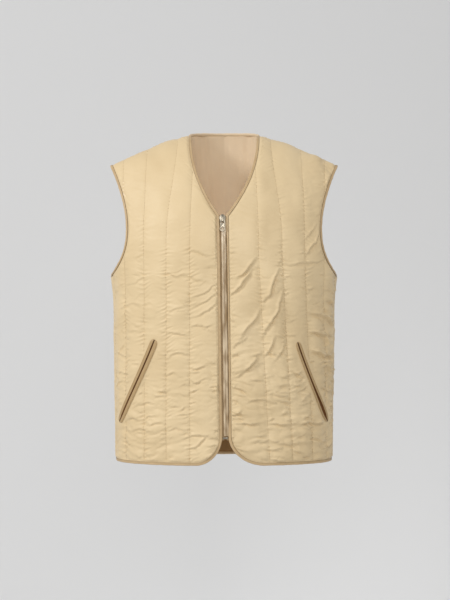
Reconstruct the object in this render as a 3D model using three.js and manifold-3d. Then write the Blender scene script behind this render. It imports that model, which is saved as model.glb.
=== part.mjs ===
// Quilted vest with a front zip and two slanted bound pockets, filled out as if worn.
// Millimetres. x runs to the wearer's left, -y is the front, +z is up.
// The origin is midway between the two neck points, level with them.
import * as THREE from 'three';
import { mergeVertices } from 'three/addons/utils/BufferGeometryUtils.js';
import Module from 'manifold-3d';

const wasm = await Module();
wasm.setup();

// Cloth
const wall = 2.2; // quilted wall along a line of stitches
const puff = 3.2; // how far a channel stands above its stitches
const puffCurve = 0.6; // the lower, the steeper a channel rises beside its stitches
const edgeTaperWidth = 14; // the wadding thins out this close to an edge
const seamGap = 0.3; // between two pieces at a seam
const pitch = 50; // between lines of stitches
const channels = 5; // whole channels from the middle to the side, before the last narrow one
const frontFirstLine = 71; // first line of stitches from the middle of the front

// Shape of the filled body, a row for each level
const sections = [
  { z: 40, halfWidth: 284, front: 130, back: 119 },
  { z: -60, halfWidth: 274, front: 131, back: 122 },
  { z: -150, halfWidth: 258, front: 131, back: 123 },
  { z: -230, halfWidth: 247, front: 132, back: 122 },
  { z: -297, halfWidth: 240, front: 133, back: 119 },
  { z: -350, halfWidth: 234, front: 133, back: 117 },
  { z: -450, halfWidth: 232.5, front: 131, back: 115 },
  { z: -600, halfWidth: 230, front: 129, back: 117 },
  { z: -720, halfWidth: 229, front: 128, back: 119 },
];
const roundness = 2.2; // superellipse power of a level section
const shoulderRoll = 1.6; // superellipse power of the roll over the shoulder
const shoulderHeight = 250; // height over which the body closes to the shoulder

// Outline of the panels, without their bindings
const neckHalf = 74.5; // neck point from the middle
const shoulderHalf = 239.5; // shoulder tip from the middle
const shoulderDrop = 62; // how far the shoulder falls to its tip
const shoulderCurve = 1.25;
const backNeckHeight = 9.5; // back neck edge above the neck points
const backNeckStand = 68.5; // height where the back would close at the middle
const backNeckStandCurve = 0.75;
const backNeckFlat = 3; // the higher, the longer the back neck edge stays level
const hem = -688.5;
const underarm = -301;
const armholeInner = 201.5; // narrowest place between the armholes, half
const armholeInnerZ = -198;
const armholeUpperCurve = 1.75;
const armholeLowerCurve = 2.5;
const neckPoint = -177; // foot of the V
const neckCurve = 2.07;
const cornerHeight = 58; // rounded lower corner of a front
const bindingWidth = 5.3;

// Zip
const zipTopX = -3; // the closed zip leans a little
const zipBottomX = 3;
const zipBottom = -634;
const edgeFromZip = 11.5; // panel edge from the middle of the zip
const chainHalf = 4.6;
const tapeInner = 2.4;
const tapeOuter = 18;
const tapeBehind = 3.2; // face of the tape behind the middle of the cloth
const tapeThickness = 1;
const tapeBelowChain = 7;
const chainTopAboveSlider = 4;
const chainUp = { middle: 2.1, side: 1.5, under: -2.2 }; // faces of the chain from the middle of the cloth
const boxUp = 2.3;
const boxHeight = 3.6;
const sliderZ = -182;

const frontPanels = {
  left: { name: 'front_left', face: 'front', side: 1, lean: 0.055, cornerWidth: 70 },
  right: { name: 'front_right', face: 'front', side: -1, lean: 0, cornerWidth: 52 },
};
const backPanel = { name: 'back', face: 'back', side: 1, lean: 0 };

// Largest folds, each a soft ridge from one place on the flat cloth to another
const folds = [
  { panel: 'front_left', s0: 105, z0: -262, s1: 30, z1: -338, half: 24, height: 3.5 },
  { panel: 'front_left', s0: 80, z0: -352, s1: 30, z1: -452, half: 22, height: 3 },
  { panel: 'front_left', s0: 290, z0: -372, s1: 195, z1: -360, half: 20, height: 3.5 },
  { panel: 'front_right', s0: 36, z0: -622, s1: 130, z1: -660, half: 22, height: 3 },
  { panel: 'front_right', s0: 30, z0: -360, s1: 110, z1: -318, half: 22, height: 2.5 },
  { panel: 'back', s0: -270, z0: -380, s1: -120, z1: -352, half: 24, height: 3 },
  { panel: 'back', s0: 270, z0: -384, s1: 120, z1: -350, half: 24, height: 3 },
  { panel: 'back', s0: -60, z0: -556, s1: 80, z1: -548, half: 26, height: 2.5 },
];

// Pockets, each from its upper end to its lower end, bowed a little towards the zip
// so that it looks straight from the front; outer and inner are the widths of its lips
const pockets = [
  { panel: 'left', topX: 151, topZ: -438.5, bottomX: 214.5, bottomZ: -607, outer: 4.8, inner: 4.8 },
  { panel: 'right', topX: 142.2, topZ: -433, bottomX: 216.5, bottomZ: -608, outer: 6.4, inner: 8 },
];
const pocketBow = 5;
const lipSlit = 2.6;
const lipThickness = 1.5;
const lipSteps = 14;
const lipEnd = 0.72; // width of a lip at its ends, as a share of its full width
const lipRounding = 2.2; // how fast it widens from its ends

// Pull tab and slider
const slider = {
  halfWidth: 6.5,
  above: 8.4,
  below: 8,
  post: 3.2,
  plate: 1.6,
  backPlate: 1.1,
  front: 2.8,
  back: 4.6,
};
const tab = { thick: 1.4, bar: 1.4, eye: 7, arm: 4.6, eyeHalf: 3, ringDistance: 18.2, ringRadius: 5.8 };
const tabHole = 4.1;
const crownWidth = 5; // bridge over the pull tab's pin
const pivotBelow = 5; // pull tab's pin below the middle of the slider
const pivotStand = 1.3; // pull tab's pin in front of the slider's plate

// Mesh fineness
const levelStep = 30; // between rows of a panel
const edgeRows = [6, 16]; // rows close to an edge
const upperRows = 8; // rows from the armhole's narrowest place to the top
const channelFractions = [0, 0.12, 0.37, 0.63, 0.88];
const edgeChannelFractions = [0, 0.04, 0.14, 0.37, 0.63, 0.88]; // the channel with the round corner
const armholeExtra = [0.024, 0.08]; // more columns just outside the armhole's inmost, in channels
const innerEvery = 3; // the plain inside keeps one row in this many

const colours = {
  cloth: 0xdfc698,
  edge: 0xcdae82,
  tape: 0xc9ab80,
  chain: 0xd4bb97,
  metal: 0xcfc4ae,
};

// Shape of the filled body

function readTable(key, z) {
  // cubic curve through the rows of the table
  let i = 1;
  while (i < sections.length - 1 && sections[i].z > z) {
    i += 1;
  }
  const slope = (j) => {
    const above = sections[Math.max(0, j - 1)];
    const below = sections[Math.min(sections.length - 1, j + 1)];
    return (above[key] - below[key]) / (above.z - below.z);
  };
  const upper = sections[i - 1];
  const lower = sections[i];
  const span = upper.z - lower.z;
  const t = THREE.MathUtils.clamp((z - lower.z) / span, 0, 1);
  const t2 = t * t;
  const t3 = t2 * t;
  return (2 * t3 - 3 * t2 + 1) * lower[key] + (t3 - 2 * t2 + t) * span * slope(i)
    + (3 * t2 - 2 * t3) * upper[key] + (t3 - t2) * span * slope(i - 1);
}

function ridge(face, x) {
  // height of the shoulder line at x, and above the back neck the height where the back would close
  const beyond = Math.max(0, Math.abs(x) - neckHalf) / (shoulderHalf - neckHalf);
  const shoulder = -shoulderDrop * beyond ** shoulderCurve;
  if (face === 'front' || Math.abs(x) >= neckHalf) {
    return shoulder;
  }
  return shoulder + backNeckStand * (1 - (x / neckHalf) ** 2) ** backNeckStandCurve;
}

function closing(face, x, z) {
  // 1 on the body, falling to 0 at the shoulder line
  const t = THREE.MathUtils.clamp((ridge(face, x) - z) / shoulderHeight, 0, 1);
  return Math.max(0, 1 - (1 - t) ** shoulderRoll) ** (1 / shoulderRoll);
}

function level(face, x, y, z) {
  // 0 on the middle of the cloth, above 0 outside it
  const width = Math.abs(x / readTable('halfWidth', z)) ** roundness;
  const depth = Math.abs(y / readTable(face, z)) ** roundness;
  return depth - closing(face, x, z) ** roundness * (1 - width);
}

function depthAt(face, x, z) {
  const width = Math.abs(x / readTable('halfWidth', z)) ** roundness;
  const share = closing(face, x, z) ** roundness * Math.max(0, 1 - width);
  const y = Math.max(seamGap / 2, readTable(face, z) * share ** (1 / roundness));
  return face === 'front' ? -y : y;
}

const sectionTables = new Map();
const sectionSteps = 160;

function sectionTable(face, z) {
  // lengths along a quarter of the level section, from the middle to the side seam
  const key = `${face} ${z.toFixed(3)}`;
  if (!sectionTables.has(key)) {
    const a = readTable('halfWidth', z);
    const d = readTable(face, z);
    const table = [{ x: 0, s: 0 }];
    let y0 = d;
    for (let i = 1; i <= sectionSteps; i += 1) {
      const angle = (Math.PI / 2) * (i / sectionSteps);
      const x = a * Math.sin(angle) ** (2 / roundness);
      const y = d * Math.max(0, Math.cos(angle)) ** (2 / roundness);
      const last = table[i - 1];
      table.push({ x, s: last.s + Math.hypot(x - last.x, y - y0) });
      y0 = y;
    }
    sectionTables.set(key, table);
  }
  return sectionTables.get(key);
}

function lookUp(table, from, to, value) {
  let i = 1;
  while (i < sectionSteps && table[i][from] < value) {
    i += 1;
  }
  const a = table[i - 1];
  const b = table[i];
  const t = THREE.MathUtils.clamp((value - a[from]) / (b[from] - a[from]), 0, 1);
  return a[to] + t * (b[to] - a[to]);
}

function acrossToX(face, s, z) {
  return Math.sign(s) * lookUp(sectionTable(face, z), 's', 'x', Math.abs(s));
}

function xToAcross(face, x, z) {
  return Math.sign(x) * lookUp(sectionTable(face, z), 'x', 's', Math.abs(x));
}

function sideSeam(face, z) {
  return sectionTable(face, z)[sectionSteps].s;
}

function normalAt(face, p) {
  const e = 0.5;
  const n = new THREE.Vector3(
    level(face, p.x + e, p.y, p.z) - level(face, p.x - e, p.y, p.z),
    level(face, p.x, p.y + e, p.z) - level(face, p.x, p.y - e, p.z),
    level(face, p.x, p.y, p.z + e) - level(face, p.x, p.y, p.z - e),
  );
  if (Math.abs(p.y) < seamGap) {
    n.y = 0;
  }
  return n.normalize();
}

function clothPoint(face, s, z) {
  // middle of the cloth at a length s round from the middle of the panel's face
  const x = acrossToX(face, s, z);
  const point = new THREE.Vector3(x, depthAt(face, x, z), z);
  return { s, point, normal: normalAt(face, point) };
}

function moved(place, out) {
  return place.point.clone().addScaledVector(place.normal, out);
}

// Outlines of the panels

function zipX(z) {
  return THREE.MathUtils.mapLinear(z, neckPoint, zipBottom, zipTopX, zipBottomX);
}

function neckEdgeX(side, z) {
  // x of the V neck's edge
  const foot = zipX(neckPoint) + side * edgeFromZip;
  const w = THREE.MathUtils.clamp(z / neckPoint, 0, 1);
  return foot + (side * neckHalf - foot) * (1 - w ** neckCurve);
}

function backNeckZ(x) {
  const w = Math.min(1, Math.abs(x) / neckHalf);
  return backNeckHeight * Math.sqrt(1 - w ** backNeckFlat);
}

function armholeX(z) {
  const tipZ = ridge('front', shoulderHalf);
  const sideX = readTable('halfWidth', underarm);
  if (z >= armholeInnerZ) {
    const w = Math.min(1, (z - armholeInnerZ) / (tipZ - armholeInnerZ));
    return armholeInner + (shoulderHalf - armholeInner) * w ** armholeUpperCurve;
  }
  const w = Math.min(1, (armholeInnerZ - z) / (armholeInnerZ - underarm));
  return armholeInner + (sideX - armholeInner) * w ** armholeLowerCurve;
}

function solve(test, low, high) {
  // height between low and high where the test turns from true to false
  let a = low;
  let b = high;
  for (let i = 0; i < 40; i += 1) {
    const middle = (a + b) / 2;
    if (test(middle)) {
      a = middle;
    } else {
      b = middle;
    }
  }
  return (a + b) / 2;
}

// Lines of stitches

const leanFrom = -250; // below this level the lines of a leaning front run outwards
const neckPull = 22; // how far the neck pulls the lines in at the top
const neckPullAt = 120;
const neckPullWidth = 45;

function lineLength(panel, k, z) {
  // length round from the middle to line k; line 0 is the front edge or the middle of the back
  if (panel.face === 'back') {
    return Math.min(k * pitch, sideSeam('back', z));
  }
  if (k === 0) {
    return edgeFromZip + panel.side * zipX(z);
  }
  const base = frontFirstLine + (k - 1) * pitch;
  const free = 1 - THREE.MathUtils.smoothstep(base, 190, 290);
  const low = Math.max(0, leanFrom - z) * panel.lean * free;
  const high = THREE.MathUtils.smoothstep(z, -230, 0) * neckPull
    * Math.exp(-(((base - neckPullAt) / neckPullWidth) ** 2));
  return base + low - high;
}

function columnLength(panel, column, z) {
  const from = lineLength(panel, column.k, z);
  const last = column.k === channels;
  const to = last ? sideSeam(panel.face, z) : lineLength(panel, column.k + 1, z);
  return from + (to - from) * column.f;
}

function halfColumns(panel) {
  // columns from the middle to the side seam, with one at the neck point and one at the armhole's inmost
  const columns = [];
  for (let k = 0; k <= channels; k += 1) {
    const fractions = k === 0 && panel.face === 'front' ? edgeChannelFractions : channelFractions;
    fractions.forEach((f) => columns.push({ k, f }));
  }
  columns.push({ k: channels, f: 1 });
  for (const [name, x, z] of [['neck', neckHalf, 0], ['armhole', armholeInner, armholeInnerZ]]) {
    const s = xToAcross(panel.face, x, z);
    const distance = (column) => Math.abs(columnLength(panel, column, z) - s);
    const free = columns.filter((column) => column.f > 0 && column.f < 1);
    const nearest = free.reduce((a, b) => (distance(a) < distance(b) ? a : b));
    const from = lineLength(panel, nearest.k, z);
    const to = lineLength(panel, nearest.k + 1, z);
    nearest.f = (s - from) / (to - from);
    nearest[name] = true;
  }
  const inmost = columns.findIndex((column) => column.armhole);
  const { k, f } = columns[inmost];
  columns.splice(inmost + 1, 0, ...armholeExtra.map((extra) => ({ k, f: f + extra })));
  return columns;
}

function columnTop(panel, column) {
  const xAt = (z) => acrossToX(panel.face, columnLength(panel, column, z), z);
  if (column.neck) {
    return 0;
  }
  if (panel.face === 'back' && xAt(0) < neckHalf) {
    return backNeckZ(xAt(backNeckHeight / 2));
  }
  const edge = (z) => Math.abs(neckEdgeX(panel.side, z));
  if (panel.face === 'front' && xAt(0) < neckHalf) {
    return solve((z) => xAt(z) > edge(z), neckPoint - 0.001, 0);
  }
  return solve((z) => z < ridge(panel.face, xAt(z)), armholeInnerZ, 0);
}

function columnBottom(panel, column) {
  if (panel.face === 'back') {
    return hem;
  }
  const in0 = columnLength(panel, column, hem) - lineLength(panel, 0, hem);
  const w = THREE.MathUtils.clamp(1 - in0 / panel.cornerWidth, 0, 1);
  return hem + cornerHeight * (1 - Math.sqrt(1 - w * w));
}

function rowLevels(bottom, top, tapersAtTop) {
  // rows of a column below the armhole's inmost level, closer together at an edge
  const rows = [{ z: bottom, inner: true }];
  const first = bottom + edgeRows[1] + 8;
  const last = tapersAtTop ? top - edgeRows[1] - 8 : top - 8;
  edgeRows.forEach((rise) => rows.push({ z: bottom + rise }));
  const count = Math.round((armholeInnerZ - hem) / levelStep);
  for (let i = 1; i < count; i += 1) {
    const z = hem + ((armholeInnerZ - hem) * i) / count;
    if (z > first && z < last) {
      rows.push({ z, inner: i % innerEvery === 0 });
    }
  }
  if (tapersAtTop) {
    [...edgeRows].reverse().forEach((fall) => rows.push({ z: top - fall }));
  }
  rows.push({ z: top, inner: true });
  return rows;
}

function upperLevels(bottom, top) {
  // rows of a column above the armhole's inmost level, closer together at the top
  const rows = [];
  for (let i = 0; i <= upperRows; i += 1) {
    const q = i / upperRows;
    const z = bottom + (top - bottom) * Math.sin((q * Math.PI) / 2);
    rows.push({ z, at: q, inner: i % 2 === 0 });
  }
  return rows;
}

// Height of the outer face above the middle of the cloth

function edgeTaper(panel, place, bottom) {
  // 0 at an edge of the panel, 1 a short way in
  const { point } = place;
  const x = Math.abs(point.x);
  const distances = [point.z - bottom];
  if (point.z > underarm) {
    distances.push(armholeX(point.z) - x, Math.abs(point.y));
  }
  if (panel.face === 'front' && point.z > neckPoint) {
    distances.push(x - Math.abs(neckEdgeX(panel.side, point.z)));
  }
  if (panel.face === 'back' && x < neckHalf) {
    distances.push(backNeckZ(point.x) - point.z);
  }
  return THREE.MathUtils.smoothstep(Math.min(...distances), -2, edgeTaperWidth);
}

function foldHeight(panel, side, s, z) {
  let height = 0;
  for (const fold of folds.filter((row) => row.panel === panel.name)) {
    const here = panel.face === 'back' ? s * side : s;
    const along = new THREE.Vector2(fold.s1 - fold.s0, fold.z1 - fold.z0);
    const from = new THREE.Vector2(here - fold.s0, z - fold.z0);
    const t = THREE.MathUtils.clamp(from.dot(along) / along.lengthSq(), 0, 1);
    const away = from.addScaledVector(along, -t).length() / fold.half;
    height += fold.height * Math.exp(-away * away) * (0.35 + 0.65 * Math.sin(Math.PI * t));
  }
  return height;
}

function outerHeight(panel, side, column, place, bottom) {
  const pillow = (4 * column.f * (1 - column.f)) ** puffCurve;
  const relief = foldHeight(panel, side, place.s, place.point.z);
  return wall / 2 + (puff * pillow + relief) * edgeTaper(panel, place, bottom);
}

// Meshes

class Solid {
  // vertices and triangles of one closed body

  constructor() {
    this.vertices = [];
    this.triangles = [];
  }

  vertex(v) {
    this.vertices.push(v);
    return this.vertices.length - 1;
  }

  bridge(a, b) {
    // strip of triangles between two rows of vertices, each { id, at } with rising at
    let i = 0;
    let j = 0;
    while (i < a.length - 1 || j < b.length - 1) {
      const nextA = i < a.length - 1 ? a[i + 1].at : Infinity;
      const nextB = j < b.length - 1 ? b[j + 1].at : Infinity;
      const goA = nextA === nextB ? b.length - j <= a.length - i : nextA < nextB;
      if (goA) {
        this.triangles.push([a[i].id, b[j].id, a[i + 1].id]);
        i += 1;
      } else {
        this.triangles.push([a[i].id, b[j].id, b[j + 1].id]);
        j += 1;
      }
    }
  }

  geometry() {
    // the triangles turned so that they face out
    let volume = 0;
    for (const [a, b, c] of this.triangles) {
      const [p, q, r] = [this.vertices[a], this.vertices[b], this.vertices[c]];
      volume += p.dot(q.clone().cross(r));
    }
    const faces = this.triangles.map(([a, b, c]) => (volume < 0 ? [a, c, b] : [a, b, c]));
    const geometry = new THREE.BufferGeometry();
    const positions = this.vertices.flatMap((v) => [v.x, v.y, v.z]);
    geometry.setAttribute('position', new THREE.Float32BufferAttribute(positions, 3));
    geometry.setIndex(faces.flat());
    geometry.computeVertexNormals();
    return geometry;
  }
}

function slab(rows, low, high) {
  // closed plate between two heights over a grid of places, row by row
  const solid = new Solid();
  const layer = (height) => rows.map((row, i) => row.map((place, j) => ({
    id: solid.vertex(moved(place, height(i, j))),
    at: i,
  })));
  const over = layer(high);
  const under = layer(low);
  const column = (grid, j) => grid.map((row) => row[j]);
  const across = (grid, i) => grid[i].map((corner, j) => ({ id: corner.id, at: j }));
  const lastRow = rows.length - 1;
  const lastColumn = rows[0].length - 1;
  for (let j = 0; j < lastColumn; j += 1) {
    solid.bridge(column(over, j), column(over, j + 1));
    solid.bridge(column(under, j + 1), column(under, j));
  }
  solid.bridge(across(over, 0), across(under, 0));
  solid.bridge(across(under, lastRow), across(over, lastRow));
  solid.bridge(column(under, 0), column(over, 0));
  solid.bridge(column(over, lastColumn), column(under, lastColumn));
  return solid.geometry();
}

function bead(places, off, profile) {
  // bound edge: a profile of { out, up } carried along places, with out pointing off the panel
  const solid = new Solid();
  const rings = places.map((place, i) => {
    const before = places[Math.max(0, i - 1)];
    const after = places[Math.min(places.length - 1, i + 1)];
    const tangent = place.tangent ?? after.point.clone().sub(before.point).normalize();
    const outwards = tangent.clone().cross(place.normal).multiplyScalar(off).normalize();
    const at = ({ out, up }) => moved(place, up).addScaledVector(outwards, out);
    return profile.map((corner, j) => ({ id: solid.vertex(at(corner)), at: j }));
  });
  const closed = rings.map((ring) => [...ring, { id: ring[0].id, at: ring.length }]);
  for (let i = 0; i < closed.length - 1; i += 1) {
    solid.bridge(closed[i], closed[i + 1]);
  }
  const last = closed.length - 1;
  for (let j = 1; j < profile.length - 1; j += 1) {
    solid.triangles.push([rings[0][0].id, rings[0][j].id, rings[0][j + 1].id]);
    solid.triangles.push([rings[last][0].id, rings[last][j + 1].id, rings[last][j].id]);
  }
  return solid.geometry();
}

// Panels

function buildPanel(panel) {
  // columns of the panel in order of x, each with its lower and upper rows of places
  const half = halfColumns(panel);
  const tipZ = ridge('front', shoulderHalf);
  const tipS = xToAcross(panel.face, shoulderHalf, tipZ);
  const armholeIndex = half.findIndex((column) => column.armhole);
  const makeColumn = (column, index, side) => {
    const xAt = (z) => acrossToX(panel.face, columnLength(panel, column, z), z);
    const bottom = columnBottom(panel, column);
    const inMain = index <= armholeIndex;
    const isSeam = column.f === 1;
    const lowerTop = inMain ? armholeInnerZ
      : isSeam ? underarm : solve((z) => xAt(z) < armholeX(z), underarm, armholeInnerZ);
    const place = (row) => {
      const s = columnLength(panel, column, row.z) * side;
      const spot = clothPoint(panel.face, s, row.z);
      const out = outerHeight(panel, side, column, spot, bottom);
      return { ...row, ...spot, out, at: row.at ?? row.z };
    };
    const lower = rowLevels(bottom, lowerTop, !inMain).map(place);
    let upper = [];
    if (inMain) {
      upper = upperLevels(armholeInnerZ, columnTop(panel, column)).map(place);
    } else if (xAt(tipZ) < shoulderHalf - 4) {
      const top = columnTop(panel, column);
      const start = solve((z) => xAt(z) > armholeX(z), armholeInnerZ, top);
      upper = upperLevels(start, top).map(place);
    }
    return { ...column, side, index, inMain, lower, upper };
  };
  const oneSide = (side) => {
    const columns = half.map((column, index) => makeColumn(column, index, side));
    const tip = clothPoint(panel.face, tipS * side, tipZ);
    const tipColumn = columns.find((column) => !column.inMain && column.upper.length === 0);
    tipColumn.upper = [{ ...tip, z: tipZ, at: 0, inner: true, out: wall / 2 }];
    return columns;
  };
  if (panel.face === 'front') {
    const columns = oneSide(panel.side);
    return panel.side > 0 ? columns : columns.reverse();
  }
  return [...oneSide(-1).reverse(), ...oneSide(1).slice(1)];
}

function panelGeometry(columns) {
  const solid = new Solid();
  const layers = { outer: [], inner: [] };
  for (const column of columns) {
    const outerRow = (place) => ({ id: solid.vertex(moved(place, place.out)), at: place.at });
    const innerRow = (place) => ({ id: solid.vertex(moved(place, -wall / 2)), at: place.at });
    const add = (layer, row, keep) => {
      const lower = column.lower.filter(keep).map(row);
      const upper = column.upper.filter(keep).map((place, i) => {
        const shared = column.inMain && i === 0;
        return shared ? { id: lower[lower.length - 1].id, at: place.at } : row(place);
      });
      layer.push({ lower, upper });
    };
    add(layers.outer, outerRow, () => true);
    add(layers.inner, innerRow, (place) => place.inner);
  }
  const { outer, inner } = layers;
  const uppers = columns.map((column, i) => i).filter((i) => columns[i].upper.length > 0);
  for (let i = 0; i < columns.length - 1; i += 1) {
    solid.bridge(outer[i].lower, outer[i + 1].lower);
    solid.bridge(inner[i + 1].lower, inner[i].lower);
    if (columns[i].upper.length > 0 && columns[i + 1].upper.length > 0) {
      solid.bridge(outer[i].upper, outer[i + 1].upper);
      solid.bridge(inner[i + 1].upper, inner[i].upper);
    }
  }
  const chain = (layer, which, end, picks) => picks.map((i) => {
    const rows = layer[i][which];
    return { id: rows[end === 'top' ? rows.length - 1 : 0].id, at: i };
  });
  const all = columns.map((column, i) => i);
  solid.bridge(chain(outer, 'lower', 'bottom', all), chain(inner, 'lower', 'bottom', all));
  solid.bridge(chain(inner, 'upper', 'top', uppers), chain(outer, 'upper', 'top', uppers));
  const firstMain = columns.findIndex((column) => column.inMain);
  const lastMain = columns.length - 1 - [...columns].reverse().findIndex((column) => column.inMain);
  for (const [from, to] of [[0, firstMain], [lastMain, columns.length - 1]]) {
    const side = all.slice(from, to + 1);
    const sideUppers = side.filter((i) => columns[i].upper.length > 0);
    if (side.length > 1) {
      solid.bridge(chain(inner, 'lower', 'top', side), chain(outer, 'lower', 'top', side));
      const outerArm = chain(outer, 'upper', 'bottom', sideUppers);
      solid.bridge(outerArm, chain(inner, 'upper', 'bottom', sideUppers));
    }
  }
  const end = (layer, i) => (columns[i].inMain
    ? [...layer[i].lower, ...layer[i].upper.slice(1).map(({ id, at }) => ({ id, at: at + 1 }))]
    : layer[i].lower);
  const last = columns.length - 1;
  solid.bridge(end(inner, 0), end(outer, 0));
  solid.bridge(end(outer, last), end(inner, last));
  return solid.geometry();
}

// Bound edges

const beadProfile = [
  { out: seamGap, up: -1.6 },
  { out: seamGap, up: 1.6 },
  { out: 2.4, up: 2.4 },
  { out: bindingWidth, up: 1.2 },
  { out: bindingWidth, up: -1.2 },
  { out: 2.4, up: -2.2 },
];

const bottomOf = (column) => column.lower[0];
const topOf = (column) => column.upper[column.upper.length - 1];

function withSeamEnd(places, ends) {
  // a bead that stops at a seam is cut along that seam
  const result = places.map((place) => ({ ...place }));
  ends.forEach((end) => {
    const last = end === 'last';
    const spot = result[last ? result.length - 1 : 0];
    const next = result[last ? result.length - 2 : 1];
    const forward = last ? spot.point.y - next.point.y : next.point.y - spot.point.y;
    spot.tangent = new THREE.Vector3(0, Math.sign(forward), 0);
  });
  return result;
}

function frontBinding(panel, columns) {
  // from the side seam along the hem, round the corner, up the front edge and the V to the neck point
  const fromMiddle = panel.side > 0 ? columns : [...columns].reverse();
  const hemPart = [...fromMiddle].reverse().map(bottomOf);
  const edge = fromMiddle[0];
  const edgePart = edge.lower.slice(1, -1);
  const footOfV = topOf(edge);
  const neckPart = fromMiddle.slice(1, fromMiddle.findIndex((column) => column.neck) + 1).map(topOf);
  const places = [...hemPart, ...edgePart, footOfV, ...neckPart];
  return bead(withSeamEnd(places, ['first', 'last']), -panel.side, beadProfile);
}

function armholeBinding(side, frontColumns, backColumns) {
  // once round the armhole, from the underarm up the front, over the shoulder and down the back
  const around = (columns) => {
    const own = columns.filter((column) => column.side === side && column.index > 0);
    const ordered = own.sort((a, b) => a.index - b.index);
    const arm = ordered.findIndex((column) => !column.inMain) - 1;
    const lower = ordered.slice(arm).map((column) => column.lower[column.lower.length - 1]);
    const upper = ordered.slice(arm + 1).filter((column) => column.upper.length > 0);
    return [...lower.reverse(), ...upper.map((column) => column.upper[0])];
  };
  const front = withSeamEnd(around(frontColumns), ['first', 'last']);
  const back = withSeamEnd(around(backColumns), ['first', 'last']).reverse();
  back.forEach((place) => place.tangent?.multiplyScalar(-1));
  return ring([...front, ...back], side, beadProfile);
}

function ring(places, off, profile) {
  // closed bead
  const solid = new Solid();
  const count = places.length;
  const rings = places.map((place, i) => {
    const before = places[(i + count - 1) % count];
    const after = places[(i + 1) % count];
    const tangent = place.tangent ?? after.point.clone().sub(before.point).normalize();
    const outwards = tangent.clone().cross(place.normal).multiplyScalar(off).normalize();
    const at = ({ out, up }) => moved(place, up).addScaledVector(outwards, out);
    return profile.map((corner, j) => ({ id: solid.vertex(at(corner)), at: j }));
  });
  const closed = rings.map((one) => [...one, { id: one[0].id, at: one.length }]);
  for (let i = 0; i < count; i += 1) {
    solid.bridge(closed[i], closed[(i + 1) % count]);
  }
  return solid.geometry();
}

// Pockets

function lipGeometry(pocket, panel, from, to) {
  // a strip beside the pocket's bowed line, moved out clear of the quilting
  const { face, side } = panel;
  const top = new THREE.Vector2(xToAcross(face, pocket.topX, pocket.topZ), pocket.topZ);
  const bottom = new THREE.Vector2(xToAcross(face, pocket.bottomX, pocket.bottomZ), pocket.bottomZ);
  const along = bottom.clone().sub(top);
  const across = new THREE.Vector2(-along.y, along.x).normalize();
  const rows = [];
  for (let i = 0; i <= lipSteps; i += 1) {
    const t = i / lipSteps;
    const rounded = Math.min(1, lipEnd + lipRounding * Math.min(t, 1 - t));
    const middle = top.clone().addScaledVector(along, t);
    const bow = -pocketBow * 4 * t * (1 - t);
    rows.push([0, 0.5, 1].map((f) => {
      const offset = bow + (from + (to - from) * f) * rounded;
      return clothPoint(face, side * (middle.x + across.x * offset), middle.y + across.y * offset);
    }));
  }
  const base = wall / 2 + puff + 2 * seamGap;
  const crown = (i, j) => base + lipThickness * (j === 1 ? 1 : 0.6);
  return slab(rows, () => base, crown);
}

// Zip

function zipPlace(offset, z) {
  return clothPoint('front', zipX(z) + offset, z);
}

function zipRows(offsets, top, bottom, steps) {
  const rows = [];
  for (let i = 0; i <= steps; i += 1) {
    const z = THREE.MathUtils.lerp(bottom, top, i / steps);
    rows.push(offsets.map((offset) => zipPlace(offset, z)));
  }
  return rows;
}

function toManifold(geometry) {
  const bare = geometry.index ? geometry.clone() : geometry;
  bare.deleteAttribute('normal');
  bare.deleteAttribute('uv');
  const merged = mergeVertices(bare, 1e-4);
  const mesh = new wasm.Mesh({
    numProp: 3,
    vertProperties: new Float32Array(merged.attributes.position.array),
    triVerts: new Uint32Array(merged.index.array),
  });
  mesh.merge();
  return new wasm.Manifold(mesh);
}

function fromManifold(manifold) {
  const mesh = manifold.getMesh();
  const geometry = new THREE.BufferGeometry();
  geometry.setAttribute('position', new THREE.Float32BufferAttribute(mesh.vertProperties, 3));
  geometry.setIndex(Array.from(mesh.triVerts));
  geometry.computeVertexNormals();
  return geometry;
}

function extrudedFlat(shape, depth, outFrom) {
  // a shape drawn in x and z, from outFrom towards the front
  const geometry = new THREE.ExtrudeGeometry(shape, { depth, bevelEnabled: false, curveSegments: 10 });
  geometry.rotateX(Math.PI / 2);
  geometry.translate(0, -outFrom, 0);
  return geometry;
}

function sliderOutline() {
  const { halfWidth: w, above, below } = slider;
  const shape = new THREE.Shape();
  shape.moveTo(0, above);
  shape.bezierCurveTo(0.3 * w, above, w, 0.6 * above, w, 0.2 * above);
  shape.bezierCurveTo(w, -0.3 * below, 0.75 * w, -0.5 * below, 0.72 * w, -below);
  shape.lineTo(-0.72 * w, -below);
  shape.bezierCurveTo(-0.75 * w, -0.5 * below, -w, -0.3 * below, -w, 0.2 * above);
  shape.bezierCurveTo(-w, 0.6 * above, -0.3 * w, above, 0, above);
  return shape;
}

function crownOutline() {
  // side view of the bridge that holds the pull tab: x is the height in front, y is up
  const rise = pivotStand * 2 + 1.3;
  const foot = -pivotBelow - 2.7;
  const shape = new THREE.Shape();
  shape.moveTo(-0.2, foot);
  shape.lineTo(rise - 1, foot);
  shape.quadraticCurveTo(rise, foot, rise, foot + 1.4);
  shape.lineTo(rise, 1);
  shape.quadraticCurveTo(rise, 5, -0.2, 8);
  shape.lineTo(-0.2, foot);
  const hole = new THREE.Path();
  hole.moveTo(0, foot + 1.3);
  hole.lineTo(pivotStand * 2, foot + 1.3);
  hole.lineTo(pivotStand * 2, 0);
  hole.quadraticCurveTo(pivotStand * 1.6, 2.4, 0, 4);
  hole.lineTo(0, foot + 1.3);
  shape.holes.push(hole);
  return shape;
}

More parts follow.
